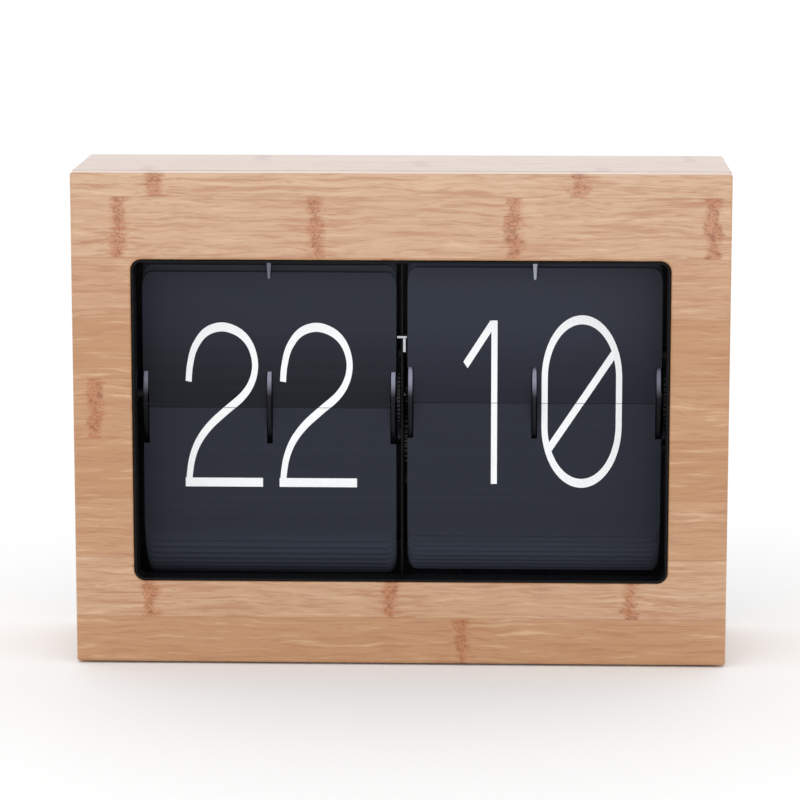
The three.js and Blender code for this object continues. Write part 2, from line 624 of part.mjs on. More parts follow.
// A leaf lies in its own (x, z) plane with its pin along x at z = 0 and its free edge up.
function leafPlate() {
  const half = LEAF_W / 2;
  const [cornerX, cornerZ] = LEAF_CORNER;
  const shape = new THREE.Shape();
  shape.moveTo(END_NOTCH - half, -LEAF_HEEL);
  shape.lineTo(-SLOT_HALF, -LEAF_HEEL);
  shape.lineTo(-SLOT_HALF, SLOT_DEPTH);
  shape.lineTo(SLOT_HALF, SLOT_DEPTH);
  shape.lineTo(SLOT_HALF, -LEAF_HEEL);
  shape.lineTo(half - END_NOTCH, -LEAF_HEEL);
  shape.lineTo(half - END_NOTCH, SLOT_DEPTH);
  shape.lineTo(half, SLOT_DEPTH);
  shape.lineTo(half, LEAF_LENGTH - cornerZ);
  shape.absellipse(half - cornerX, LEAF_LENGTH - cornerZ, cornerX, cornerZ, 0, Math.PI / 2);
  shape.lineTo(cornerX - half, LEAF_LENGTH);
  shape.absellipse(cornerX - half, LEAF_LENGTH - cornerZ, cornerX, cornerZ, Math.PI / 2, Math.PI);
  shape.lineTo(-half, SLOT_DEPTH);
  shape.lineTo(END_NOTCH - half, SLOT_DEPTH);
  return prismY(shape, [-LEAF_T / 2, LEAF_T / 2], 2);
}

// Where the leaves of a unit stand or hang: the pin's place and the lean back in degrees, with the
// standing front leaf first, and then away from the front above or below.
function leafPlaces(unit, direction) {
  const places = [];
  let nearest = AXIS_Y - PIN_RADIUS;
  for (let i = 0; i <= unit.behind; i += 1) {
    const steps = direction > 0 ? i : -i - 1;
    const angle = (unit.first + steps * pitchOf(unit)) * DEGREE;
    const back = i === 0 && direction > 0 ? nearest : nearest + LEAF_STEP;
    const y = Math.max(back, AXIS_Y - PIN_RADIUS * Math.cos(angle));
    const above = Math.max(0, Math.sin(angle));
    const lean = direction > 0 ? REST_LEAN + PACK_LEAN * above : 180;
    places.push({ y, z: AXIS_Z + PIN_RADIUS * Math.sin(angle), lean });
    nearest = y;
  }
  return places;
}

function leafAt(unit, { y, z, lean }) {
  return leafPlate().rotateX(-lean * DEGREE).translate(unit.side * LEAF_MIDDLE, y, z);
}

const BINDER_RADIUS = 1.5;
const BINDER_X = 20; // from the middle of the leaves
const BINDER_Z = { standing: AXIS_Z + 49, hanging: AXIS_Z - 49 };

// The leaves behind the front one, held together by a thin binder through their middles.
function leafPack(unit, places, binderZ) {
  const behind = places.slice(1);
  const depths = behind.map(({ y, z, lean }) => y - (binderZ - z) * Math.tan(-lean * DEGREE));
  const binderY = [Math.min(...depths), Math.max(...depths)];
  const binder = rodY(BINDER_RADIUS, binderY, [unit.side * (LEAF_MIDDLE + BINDER_X), binderZ], 6);
  return join(...behind.map((place) => leafAt(unit, place)), binder);
}

for (const unit of [HOURS, MINUTES]) {
  addDrum(unit);
  const standing = leafPlaces(unit, 1);
  const hanging = leafPlaces(unit, -1);
  add(`${unit.name}_leaf_falling`, LEAF_BLACK, leafAt(unit, standing[0]));
  add(`${unit.name}_leaf_hanging`, LEAF_BLACK, leafAt(unit, hanging[0]));
  add(`${unit.name}_pack_standing`, LEAF_BLACK, leafPack(unit, standing, BINDER_Z.standing));
  add(`${unit.name}_pack_hanging`, LEAF_BLACK, leafPack(unit, hanging, BINDER_Z.hanging));
}

export default clock;
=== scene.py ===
"""The looks of the flip number clock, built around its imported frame. Metres, +Z up, front to -Y."""

import json
from math import asin, cos, degrees, pi, radians, sin

import bmesh
import bpy
from mathutils import Matrix, Vector


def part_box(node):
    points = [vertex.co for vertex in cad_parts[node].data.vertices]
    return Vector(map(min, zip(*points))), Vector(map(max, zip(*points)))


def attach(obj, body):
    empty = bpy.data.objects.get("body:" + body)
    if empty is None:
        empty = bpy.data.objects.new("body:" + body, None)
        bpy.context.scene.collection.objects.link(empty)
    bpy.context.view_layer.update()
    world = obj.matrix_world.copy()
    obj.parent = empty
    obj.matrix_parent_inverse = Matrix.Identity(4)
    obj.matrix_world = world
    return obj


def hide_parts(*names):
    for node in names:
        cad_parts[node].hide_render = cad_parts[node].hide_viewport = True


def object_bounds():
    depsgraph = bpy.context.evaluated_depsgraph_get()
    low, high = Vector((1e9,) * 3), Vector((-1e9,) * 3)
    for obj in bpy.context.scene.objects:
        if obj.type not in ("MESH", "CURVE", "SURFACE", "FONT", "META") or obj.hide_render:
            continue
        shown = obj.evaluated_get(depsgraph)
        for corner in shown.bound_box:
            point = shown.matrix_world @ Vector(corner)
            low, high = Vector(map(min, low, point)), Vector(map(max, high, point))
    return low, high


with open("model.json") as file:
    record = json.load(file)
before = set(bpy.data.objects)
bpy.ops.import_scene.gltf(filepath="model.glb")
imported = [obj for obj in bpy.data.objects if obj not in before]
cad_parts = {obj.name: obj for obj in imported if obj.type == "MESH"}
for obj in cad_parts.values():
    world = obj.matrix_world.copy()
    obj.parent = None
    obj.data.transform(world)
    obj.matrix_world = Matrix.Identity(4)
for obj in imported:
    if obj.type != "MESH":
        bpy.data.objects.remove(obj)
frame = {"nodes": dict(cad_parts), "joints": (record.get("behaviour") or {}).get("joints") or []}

cad_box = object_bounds()
MM = 0.001
CASE = "clock_case"
joints = {joint["name"]: joint for joint in frame["joints"]}
scene = bpy.context.scene


# ---------------------------------------------------------------- places taken from the frame

AXIS = Vector(joints["minute_drum_spin"]["pos_m"])

# A leaf's thickness, the gap where two meet, its length, how far it stands behind the one in front and
# the half axes of its rounded corners. It leans back by REST_LEAN degrees, and higher up by more.
LEAF_THICKNESS = 0.36 * MM
LEAF_MEETING = 0.2 * MM
LEAF_LENGTH = 74 * MM
LEAF_STEP = 0.55 * MM
LEAF_CORNER = (5 * MM, 8.5 * MM)
REST_LEAN = 1.5
PACK_LEAN = 12.5

# The slots for the discs, the notches at a leaf's ends, and the pins in them. PIN_CIRCLE is the circle
# of pins round the drums' axis.
SLOT_DEPTH = 18.5 * MM
SLOT_HALF = 1.6 * MM
END_NOTCH = 3.3 * MM
PIN_CIRCLE = 29 * MM
PIN_RADIUS = 0.3 * MM
PIN_INSIDE = 1.0 * MM
PIN_OUTSIDE = 0.35 * MM


class Unit:
    """One display: its names, the middle of its leaves and where its leaves' pins are."""

    def __init__(self, name, leaves, behind):
        self.name = name
        self.body = f"{name}_leaf"
        self.drum = f"{name}_drum"
        low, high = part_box(f"{name}_leaf_hanging")
        self.middle = (low.x + high.x) / 2
        self.half = (high.x - low.x) / 2
        self.pin = Vector(joints[f"{name}_leaf_fall"]["pos_m"])
        self.pitch = 360 / leaves
        self.first = degrees(asin((self.pin.z - AXIS.z) / PIN_CIRCLE))
        self.behind = behind
        below = self.pin.z - self.places(-1)[0][1]
        self.heel = (below - LEAF_MEETING) / 2

    def places(self, direction):
        """(y, z, lean back in degrees) of each leaf's pin, from the front leaf backwards."""
        found = []
        nearest = AXIS.y - PIN_CIRCLE
        for i in range(self.behind + 1):
            steps = i if direction > 0 else -i - 1
            angle = radians(self.first + steps * self.pitch)
            back = nearest if i == 0 and direction > 0 else nearest + LEAF_STEP
            nearest = max(back, AXIS.y - PIN_CIRCLE * cos(angle))
            lean = REST_LEAN + PACK_LEAN * max(0, sin(angle)) if direction > 0 else 180
            found.append((nearest, AXIS.z + PIN_CIRCLE * sin(angle), lean))
        return found


HOURS = Unit("hour", 48, 7)
MINUTES = Unit("minute", 60, 8)


# ---------------------------------------------------------------- node-based materials

class Shader:
    """A material and short ways to add nodes to it."""

    def __init__(self, name):
        self.material = bpy.data.materials.new(name)
        self.material.use_nodes = True
        self.tree = self.material.node_tree
        self.surface = self.tree.nodes["Principled BSDF"]
        self.place = self.tree.nodes.new("ShaderNodeTexCoord").outputs["Object"]

    def node(self, kind, inputs=None, **settings):
        made = self.tree.nodes.new(kind)
        for key, value in settings.items():
            setattr(made, key, value)
        for key, value in (inputs or {}).items():
            self.feed(made.inputs[key], value)
        return made

    def feed(self, socket, value):
        if isinstance(value, bpy.types.NodeSocket):
            self.tree.links.new(value, socket)
        else:
            socket.default_value = value

    def math(self, operation, a, b=0.0, c=0.0):
        made = self.node("ShaderNodeMath", operation=operation)
        for socket, value in zip(made.inputs, (a, b, c)):
            self.feed(socket, value)
        return made.outputs[0]

    def step(self, value, low, high):
        """0 at low and 1 at high, smoothly; low may be the larger."""
        ends = (low, high, 0.0, 1.0) if low < high else (high, low, 1.0, 0.0)
        made = self.node("ShaderNodeMapRange", interpolation_type="SMOOTHSTEP")
        for socket, number in zip(made.inputs, (value, *ends)):
            self.feed(socket, number)
        return made.outputs[0]

    def split(self, vector=None):
        return self.node("ShaderNodeSeparateXYZ", {0: vector or self.place}).outputs

    def vector(self, x, y, z):
        return self.node("ShaderNodeCombineXYZ", {0: x, 1: y, 2: z}).outputs[0]

    def scaled(self, vector, x, y, z):
        made = self.node("ShaderNodeVectorMath", {0: vector, 1: (x, y, z)}, operation="MULTIPLY")
        return made.outputs[0]

    def noise(self, vector, scale=1.0, detail=3.0, roughness=0.55, distortion=0.0):
        settings = {"Vector": vector, "Scale": scale, "Detail": detail, "Roughness": roughness}
        return self.node("ShaderNodeTexNoise", {**settings, "Distortion": distortion}).outputs["Fac"]

    def mix(self, factor, a, b, blend="MIX"):
        made = self.node("ShaderNodeMix", data_type="RGBA", blend_type=blend)
        for socket, value in zip((made.inputs[0], made.inputs[6], made.inputs[7]), (factor, a, b)):
            self.feed(socket, value)
        return made.outputs[2]

    def bump(self, height, distance, strength=1.0):
        made = self.node("ShaderNodeBump", {"Height": height, "Strength": strength})
        made.inputs["Distance"].default_value = distance
        self.feed(self.surface.inputs["Normal"], made.outputs[0])

    def set(self, **values):
        """Sets sockets of the surface: Base_Color=..., Roughness=..."""
        for key, value in values.items():
            self.feed(self.surface.inputs[key.replace("_", " ")], value)
        return self.material


def srgb(red, green, blue):
    """A colour given as 0 to 255 display values."""
    def linear(value):
        share = value / 255
        return share / 12.92 if share <= 0.04045 else ((share + 0.055) / 1.055) ** 2.4

    return (linear(red), linear(green), linear(blue), 1.0)


# Strips of the front panel from its foot up: a knot's place along the strip and the distance between
# knots, in millimetres, and how dark the strip is from 0 to 1.
STRIP = 33.45 * MM
FRONT_STRIPS = [
    (34, 390, 0.88), (-6, 133, 0.38), (70, 399, 0.74), (10, 395, 0.98), (-168, 399, 0.80),
    (40, 397, 0.98), (-8, 399, 0.62), (62, 108, 0.22), (-134, 231, 0.06),
]
PLAIN_STRIPS = [
    (-120, 210, 0.45), (60, 260, 0.30), (-30, 230, 0.60), (110, 250, 0.40), (10, 280, 0.55),
    (-80, 240, 0.35), (90, 220, 0.50), (-10, 260, 0.42), (40, 250, 0.58),
]
KNOT_RANGE = 400


KNOT_CORE = (6.0 * MM, 1.2 * MM)
KNOT_HALO = (26 * MM, 3 * MM)
KNOT_RAGGED = 15 * MM


def strip_values(s, index, strips):
    """A strip's knot place, distance between knots and darkness, found by its index."""
    count = len(strips)
    ramp = s.node("ShaderNodeValToRGB", {0: s.math("DIVIDE", s.math("ADD", index, 0.5), float(count))})
    ramp.color_ramp.interpolation = "CONSTANT"
    stops = ramp.color_ramp.elements
    while len(stops) < count:
        stops.new(1.0)
    for i, (knot, gap, tone) in enumerate(strips):
        stops[i].position = i / count
        stops[i].color = (knot / KNOT_RANGE / 2 + 0.5, gap / KNOT_RANGE, tone, 1.0)
    data = s.split(ramp.outputs[0])
    knot = s.math("MULTIPLY", s.math("SUBTRACT", data[0], 0.5), 2 * KNOT_RANGE * MM)
    gap = s.math("MULTIPLY", data[1], KNOT_RANGE * MM)
    return knot, gap, data[2]


def bamboo(name, along, across, first, strips, painted_shade=(1.0, 1.0, 1.0)):
    """Laminated bamboo: strips side by side, with fibres along them and a knot here and there.
    along and across are axis numbers, first is where the lowest strip starts, and painted_shade multiplies
    the colour as painted shade, darkening the level boards."""
    s = Shader(name)
    axes = s.split()
    depth = 3 - along - across
    u, v, w = axes[along], axes[across], axes[depth]
    in_strips = s.math("DIVIDE", s.math("SUBTRACT", v, first), STRIP)
    index = s.math("FLOOR", in_strips)
    knot, gap, tone = strip_values(s, index, strips)

    # Each strip has its own stretch of grain, and the fibres wander a little.
    shift = s.math("MULTIPLY", index, 0.731)
    wander = s.noise(s.vector(s.math("MULTIPLY", u, 22.0), s.math("MULTIPLY", v, 30.0), shift), detail=2.0)
    v_wavy = s.math("MULTIPLY_ADD", s.math("SUBTRACT", wander, 0.5), 0.006, v)
    grain = s.vector(s.math("ADD", u, shift), v_wavy, s.math("ADD", w, shift))
    streaks = s.noise(s.scaled(grain, 24.0, 360.0, 360.0), detail=3.0, roughness=0.6, distortion=0.5)
    flecks = s.noise(s.scaled(grain, 60.0, 620.0, 620.0), detail=2.0, roughness=0.6, distortion=0.3)
    fibres = s.noise(s.scaled(grain, 70.0, 1700.0, 1700.0), detail=3.0, roughness=0.65)
    clouds = s.noise(s.scaled(grain, 10.0, 60.0, 60.0), detail=2.0)

    # Distance along the strip to its nearest knot, with a ragged edge.
    ragged = s.noise(s.scaled(grain, 90.0, 150.0, 150.0), detail=3.0, roughness=0.7)
    turned_by = s.math("ADD", s.math("DIVIDE", s.math("SUBTRACT", u, knot), gap), 0.5)
    offset = s.math("SUBTRACT", s.math("FRACT", turned_by), 0.5)
    distance = s.math("MULTIPLY", s.math("ABSOLUTE", offset), gap)
    distance = s.math("MULTIPLY_ADD", s.math("SUBTRACT", ragged, 0.5), KNOT_RAGGED, distance)
    core = s.step(distance, *KNOT_CORE)
    halo = s.step(distance, *KNOT_HALO)
    curls = s.noise(s.scaled(grain, 210.0, 300.0, 300.0), detail=3.0, roughness=0.7, distortion=2.2)

    # A thin dark glue line where two strips meet.
    edge = s.math("FRACT", in_strips)
    seam = s.step(s.math("MINIMUM", edge, s.math("SUBTRACT", 1.0, edge)), 0.014, 0.004)

    # The colour in layers: where each one shows, how strong it is, and its shade.
    layers = [
        (s.step(streaks, 0.48, 0.68), 0.68, (174, 118, 76)),
        (s.step(streaks, 0.45, 0.28), 0.50, (222, 187, 152)),
        (s.step(flecks, 0.52, 0.70), 0.46, (166, 110, 70)),
        (s.step(fibres, 0.46, 0.74), 0.34, (160, 106, 68)),
        (s.math("MULTIPLY", s.step(flecks, 0.50, 0.66), halo), 0.50, (176, 112, 70)),
        (core, 0.58, (176, 100, 42)),
        (s.math("MULTIPLY", s.step(curls, 0.46, 0.60), core), 0.72, (132, 68, 20)),
        (seam, 0.28, (150, 100, 66)),
    ]
    pale = s.mix(clouds, srgb(208, 173, 141), srgb(199, 157, 121))
    colour = s.mix(tone, pale, srgb(184, 134, 88))
    for mask, strength, shade in layers:
        colour = s.mix(s.math("MULTIPLY", mask, strength), colour, srgb(*shade))
    # A tint other than white here is painted shade, as on the level boards.
    colour = s.mix(1.0, colour, (*painted_shade, 1.0), "MULTIPLY")

    relief = s.math("ADD", fibres, s.math("MULTIPLY", curls, core))
    s.bump(s.math("MULTIPLY_ADD", seam, -0.6, relief), 0.00005, 0.5)
    roughness = s.math("MULTIPLY_ADD", fibres, 0.16, 0.33)
    return s.set(Base_Color=colour, Roughness=roughness, Coat_Weight=0.9, Coat_Roughness=0.2)


GRAIN_SCALE = 2600.0
GRAIN_DEPTH = 0.00002
WORN = 1.25


def plastic(name, colour, roughness, size=GRAIN_SCALE, specular=0.5):
    """Moulded plastic: a fine spark-eroded grain, and slightly paler patches where it is handled."""
    s = Shader(name)
    texture = s.noise(s.place, scale=size, detail=2.0, roughness=0.6)
    cloud = s.noise(s.place, scale=24.0, detail=3.0)
    paler = tuple(min(1.0, c * WORN) for c in colour[:3]) + (1.0,)
    shade = s.mix(s.step(cloud, 0.35, 0.72), colour, paler)
    s.bump(texture, GRAIN_DEPTH, 0.6)
    rough = s.math("MULTIPLY_ADD", cloud, 0.12, roughness - 0.06)
    return s.set(Base_Color=shade, Roughness=rough, Specular_IOR_Level=specular)


def disc_moulding():
    """Grey moulding whose rim is painted pale above the leaves' pins and dark below them, at rest: a
    painted highlight above and painted shade below.
    """
    s = Shader("disc_moulding")
    z = s.split()[2]
    cloud = s.noise(s.place, scale=60.0, detail=3.0)
    texture = s.noise(s.place, scale=GRAIN_SCALE, detail=2.0)
    height = s.math("MULTIPLY_ADD", s.math("SUBTRACT", cloud, 0.5), 3 * MM, z)
    # Painted highlight on the upper rim and painted shade on the lower, set by height at rest; the specular
    # level rises with the painted highlight.
    painted_highlight = s.step(height, AXIS.z + 3 * MM, AXIS.z + 14 * MM)
    shade = s.mix(painted_highlight, srgb(15, 16, 22), srgb(136, 138, 158))
    s.bump(texture, GRAIN_DEPTH, 0.6)
    gloss = s.math("MULTIPLY_ADD", painted_highlight, 0.4, 0.15)
    rough = s.math("MULTIPLY_ADD", cloud, 0.12, 0.26)
    return s.set(Base_Color=shade, Roughness=rough, Specular_IOR_Level=gloss)


def metal(name, colour, roughness):
    """Drawn or plated metal, with fine lines along the X direction and small stains."""
    s = Shader(name)
    lines = s.noise(s.scaled(s.place, 12.0, 700.0, 700.0), detail=4.0, roughness=0.6)
    stains = s.noise(s.place, scale=90.0, detail=3.0)
    darker = tuple(c * 0.72 for c in colour[:3]) + (1.0,)
    shade = s.mix(s.math("MULTIPLY", s.step(stains, 0.45, 0.75), 0.6), colour, darker)
    s.bump(lines, 0.00001, 0.4)
    rough = s.math("MULTIPLY_ADD", lines, 0.22, roughness - 0.11)
    return s.set(Base_Color=shade, Roughness=rough, Metallic=1.0)


# Painted shade and light on the leaves: colours of a sheet near its pins (painted shade) and near its free
# edge (painted light), the hour leaves painted darker, and the heights from the drums' axis between which
# one turns into the other.
STANDING_PAINTED_SHADING = {"hour": ((9, 13, 24), (40, 45, 58)), "minute": ((20, 25, 39), (47, 52, 65))}
STANDING_REACH = (0.0, 66 * MM)
HANGING_PAINTED_SHADING = ((32, 37, 49), (60, 66, 80))
HANGING_REACH = (-66 * MM, -98 * MM)


def leaf_sheet(unit, standing):
    """Thin satin black sheet with faint rolling lines across, painted a little darker towards its pins as
    painted shade and paler towards its free edge as painted light.
    """
    s = Shader(f"{unit.name}_leaf_{'standing' if standing else 'hanging'}_sheet")
    z = s.split()[2]
    lines = s.noise(s.scaled(s.place, 3.0, 60.0, 420.0), detail=3.0, roughness=0.6)
    dust = s.noise(s.place, scale=1900.0, detail=2.0)
    near, far = STANDING_PAINTED_SHADING[unit.name] if standing else HANGING_PAINTED_SHADING
    start, end = STANDING_REACH if standing else HANGING_REACH
    # Painted shade near the pins and painted light towards the free edge; the hour leaves are painted
    # darker than the minute leaves as painted shade.
    base = s.mix(s.step(z, AXIS.z + start, AXIS.z + end), srgb(*near), srgb(*far))
    shade = s.mix(s.math("MULTIPLY", s.step(lines, 0.4, 0.75), 0.14), base, srgb(52, 58, 72))
    s.bump(dust, 0.000006, 0.5)
    rough = s.math("MULTIPLY_ADD", lines, 0.14, 0.42)
    return s.set(Base_Color=shade, Roughness=rough, Specular_IOR_Level=0.2)


def felt():
    """Dark pressed felt with loose paler fibres."""
    s = Shader("felt_fibres")
    fibres = s.noise(s.place, scale=1400.0, detail=4.0, roughness=0.8, distortion=1.5)
    shade = s.mix(fibres, srgb(30, 30, 32), srgb(86, 84, 84))
    s.bump(fibres, 0.0002, 0.8)
    return s.set(Base_Color=shade, Roughness=0.96, Sheen_Weight=0.3)


def printed_white():
    """Satin white ink, a little uneven."""
    s = Shader("digit_print")
    ink = s.noise(s.place, scale=900.0, detail=3.0)
    shade = s.mix(s.step(ink, 0.3, 0.7), srgb(243, 246, 248), srgb(250, 252, 253))
    s.bump(ink, 0.000008, 0.5)
    return s.set(Base_Color=shade, Roughness=0.42)


def cell_wrap():
    """Shrink wrap: one plain colour in the middle of each cell, and a dark one towards its ends."""
    s = Shader("cell_wrap_sleeve")
    x = s.split()[0]
    gloss = s.noise(s.scaled(s.place, 40.0, 400.0, 400.0), detail=2.0)
    band = s.step(s.math("ABSOLUTE", x), 15.9 * MM, 16.1 * MM)
    shade = s.mix(band, srgb(70, 122, 150), srgb(34, 38, 46))
    s.bump(gloss, 0.00002, 0.4)
    return s.set(Base_Color=shade, Roughness=s.math("MULTIPLY_ADD", gloss, 0.1, 0.22), Metallic=0.2)


def solder_resist():
    """Green lacquer over a woven board, with paler tracks."""
    s = Shader("solder_resist")
    weave = s.noise(s.place, scale=1200.0, detail=2.0)
    grid = {"Vector": s.place, "Scale": 210.0, "Mortar Size": 0.05}
    tracks = s.node("ShaderNodeTexBrick", grid).outputs["Fac"]
    shade = s.mix(s.math("MULTIPLY", tracks, 0.5), srgb(38, 92, 58), srgb(84, 132, 78))
    s.bump(weave, 0.00002, 0.5)
    return s.set(Base_Color=shade, Roughness=0.35)


LOWEST_SEAM = 26.9 * MM
STRIPS_FROM = -0.150
# Painted shade: the level boards' bamboo is darkened and greyed by this tint, as less lit than the upright
# boards.
LEVEL_PAINTED_SHADE = (0.86, 0.89, 0.97)
BAMBOO_FRONT = bamboo("bamboo_front", 0, 2, LOWEST_SEAM - STRIP, FRONT_STRIPS)
BAMBOO_LEVEL = bamboo("bamboo_level", 0, 1, STRIPS_FROM, PLAIN_STRIPS, LEVEL_PAINTED_SHADE)
BAMBOO_UPRIGHT = bamboo("bamboo_upright", 2, 1, STRIPS_FROM, PLAIN_STRIPS)
BLACK_PLASTIC = plastic("black_moulding", srgb(24, 24, 28), 0.42)
LINER_PLASTIC = plastic("liner_moulding", srgb(5, 5, 8), 0.5, specular=0.16)
GREY_PLASTIC = plastic("grey_moulding", srgb(150, 153, 168), 0.40)
# The discs' moulding carries a painted highlight above the axis and painted shade below it.
DISC_PLASTIC = disc_moulding()
# The two retainers are alike; their grey and paler copies of one moulding differ only by painted light.
RETAINER_GREY = plastic("retainer_moulding", srgb(104, 109, 121), 0.4)
RETAINER_PAINTED_LIGHT = plastic("retainer_pale_moulding", srgb(172, 177, 190), 0.4)
GEAR_PLASTIC = plastic("acetal_moulding", srgb(28, 28, 32), 0.34)
STEEL = metal("zinc_plated_steel", (0.60, 0.61, 0.64, 1.0), 0.34)
LUG_STEEL = metal("bright_steel", (0.46, 0.47, 0.51, 1.0), 0.38)
BLACK_STEEL = plastic("black_lacquered_steel", srgb(9, 9, 12), 0.5, size=900.0, specular=0.15)
FELT = felt()
WHITE = printed_white()
CELL_WRAP = cell_wrap()
BOARD = solder_resist()


# ---------------------------------------------------------------- making pieces

SHARP_ANGLE = 35.0
TOUCHING = 1e-7


def as_object(name, bm):
    """The bmesh as a new object in the scene."""
    mesh = bpy.data.meshes.new(name)
    bm.to_mesh(mesh)
    bm.free()
    made = bpy.data.objects.new(name, mesh)
    scene.collection.objects.link(made)
    return made


def finish_piece(name, bm, material, body, stands_for=()):
    """The bmesh as a named piece that rides on a body and stands for CAD nodes."""
    bmesh.ops.remove_doubles(bm, verts=bm.verts, dist=TOUCHING)
    bmesh.ops.dissolve_degenerate(bm, dist=TOUCHING, edges=bm.edges)
    bmesh.ops.recalc_face_normals(bm, faces=bm.faces)
    piece = as_object(name, bm)
    piece.data.shade_smooth()
    piece.data.set_sharp_from_angle(angle=radians(SHARP_ANGLE))
    piece.data.materials.append(material)
    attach(piece, body)
    if stands_for:
        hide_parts(*stands_for)
    return piece


def bevel(piece, width, segments=2, angle=SHARP_ANGLE):
    """Rounds the piece's edges that are sharper than the angle."""
    made = piece.modifiers.new("edges", "BEVEL")
    made.width = width
    made.segments = segments
    made.limit_method = "ANGLE"
    made.angle_limit = radians(angle)
    made.harden_normals = True


def refined(node, material, width, segments=2, body=CASE, rear_corners=0.0):
    """The node's own shape with clean faces and rounded edges. rear_corners rounds the case's upright
    edges at the back by that radius."""
    bm = bmesh.new()
    bm.from_mesh(frame["nodes"][node].data)
    bmesh.ops.remove_doubles(bm, verts=bm.verts, dist=1e-6)
    bmesh.ops.dissolve_limit(bm, angle_limit=radians(1.0), verts=bm.verts, edges=bm.edges)
    if rear_corners:
        near = 1e-5
        wide, back = cad_box[1].x - near, cad_box[1].y - near
        upright = [e for e in bm.edges if all(abs(v.co.x) > wide and v.co.y > back for v in e.verts)
                   and abs(e.verts[0].co.x - e.verts[1].co.x) < near]
        bmesh.ops.bevel(bm, geom=upright, offset=rear_corners, segments=6, affect="EDGES", profile=0.5)
    bevel(finish_piece(f"{node}_fine", bm, material, body, [node]), width, segments)


AXIS_ORDER = {"X": (0, 1, 2), "Y": (1, 0, 2), "Z": (2, 0, 1)}


def revolve(bm, profile, centre, axis="X", segments=96, wave=None, start=0.0):
    """A turned shape in bm. profile is a loop of (along, radius) with an optional true where wave(angle)
    is added to the radius. A profile with its ends on the axis makes a solid without a bore."""
    along_axis, a_axis, b_axis = AXIS_ORDER[axis]
    rings = []
    for turn in range(segments):
        angle = start + 2 * pi * turn / segments
        ring = []
        for along, radius, *waved in profile:
            if waved and waved[0]:
                radius += wave(angle)
            at = [0.0, 0.0, 0.0]
            at[along_axis] = along
            at[a_axis] = centre[a_axis] + radius * cos(angle)
            at[b_axis] = centre[b_axis] + radius * sin(angle)
            ring.append(bm.verts.new(at))
        rings.append(ring)
    for turn, ring in enumerate(rings):
        following = rings[(turn + 1) % segments]
        for i in range(len(profile)):
            j = (i + 1) % len(profile)
            bm.faces.new((ring[i], ring[j], following[j], following[i]))


def block(bm, low, high):
    """A box between two corners."""
    low, high = Vector(low), Vector(high)
    for vert in bmesh.ops.create_cube(bm, size=1.0)["verts"]:
        vert.co = Vector([(low[i] + high[i]) / 2 + vert.co[i] * (high[i] - low[i]) for i in range(3)])


def middle_of(node):
    low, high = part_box(node)
    return (low + high) / 2


def span(node):
    """A turned node's place: lowest and highest x, centre and radius."""
    low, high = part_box(node)
    return low.x, high.x, (low + high) / 2, (high.z - low.z) / 2


def ring_profile(x0, x1, bore, radius, chamfer):
    """Section of a chamfered ring between two x places."""
    return [
        (x0, bore + chamfer), (x0, radius - chamfer), (x0 + chamfer, radius),
        (x1 - chamfer, radius), (x1, radius - chamfer), (x1, bore + chamfer),
        (x1 - chamfer, bore), (x0 + chamfer, bore),
    ]


def rod_profile(x0, x1, radius, chamfer):
    """Section of a chamfered rod between two x places."""
    return [
        (x0, 0.0), (x0, radius - chamfer), (x0 + chamfer, radius),
        (x1 - chamfer, radius), (x1, radius - chamfer), (x1, 0.0),
    ]


def turned(node, material, bore=0.0, chamfer=0.2 * MM, body=CASE, segments=64):
    """A rod, or a ring where it has a bore, in a node's place."""
    x0, x1, centre, radius = span(node)
    bm = bmesh.new()
    profile = ring_profile(x0, x1, bore, radius, chamfer) if bore else rod_profile(x0, x1, radius, chamfer)
    revolve(bm, profile, centre, segments=segments)
    finish_piece(f"{node}_turned", bm, material, body, [node])


# ---------------------------------------------------------------- case

def front_panel():
    """The front board with its window."""
    refined("front_frame", BAMBOO_FRONT, 1.6 * MM, 4)


def case_boards():
    """The four boards behind the front, rounded at the back's upright edges."""
    for name, look in (("top", BAMBOO_LEVEL), ("bottom", BAMBOO_LEVEL),
                       ("left", BAMBOO_UPRIGHT), ("right", BAMBOO_UPRIGHT)):
        refined(f"{name}_board", look, 0.7 * MM, 3, rear_corners=3 * MM)


def foot_pads():
    """Round felt pads with softened edges."""
    soft = 0.2 * MM
    for i in range(1, 5):
        node = f"foot_pad_{i}"
        low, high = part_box(node)
        radius = (high.x - low.x) / 2
        profile = [
            (low.z, 0.0), (low.z, radius - 2 * soft), (low.z + soft, radius - soft / 2),
            ((low.z + high.z) / 2, radius), (high.z - soft, radius - soft / 2),
            (high.z, radius - 2 * soft), (high.z, 0.0),
        ]
        bm = bmesh.new()
        revolve(bm, profile, middle_of(node), "Z", 64)
        finish_piece(f"{node}_felt", bm, FELT, CASE, [node])


SCREW_SHANK = 1.1 * MM
SCREW_HEAD = 1.5 * MM
CROSS_LENGTH = 1.7 * MM
CROSS_WIDTH = 0.32 * MM
CROSS_DEPTH = 0.9 * MM


def screw_profile(low, high, radius):
    """Section of a pan head screw whose tip and head are at two y places."""
    head = high - SCREW_HEAD
    return [
        (low, 0.0), (low + 1.2 * MM, SCREW_SHANK), (head - 0.3 * MM, SCREW_SHANK),
        (head, SCREW_SHANK + 0.1 * MM), (head, radius - 0.1 * MM), (head + 0.2 * MM, radius),
        (high - 0.6 * MM, radius - 0.15 * MM), (high - 0.15 * MM, radius - 0.8 * MM),
        (high, radius - 1.6 * MM), (high, 0.0),
    ]


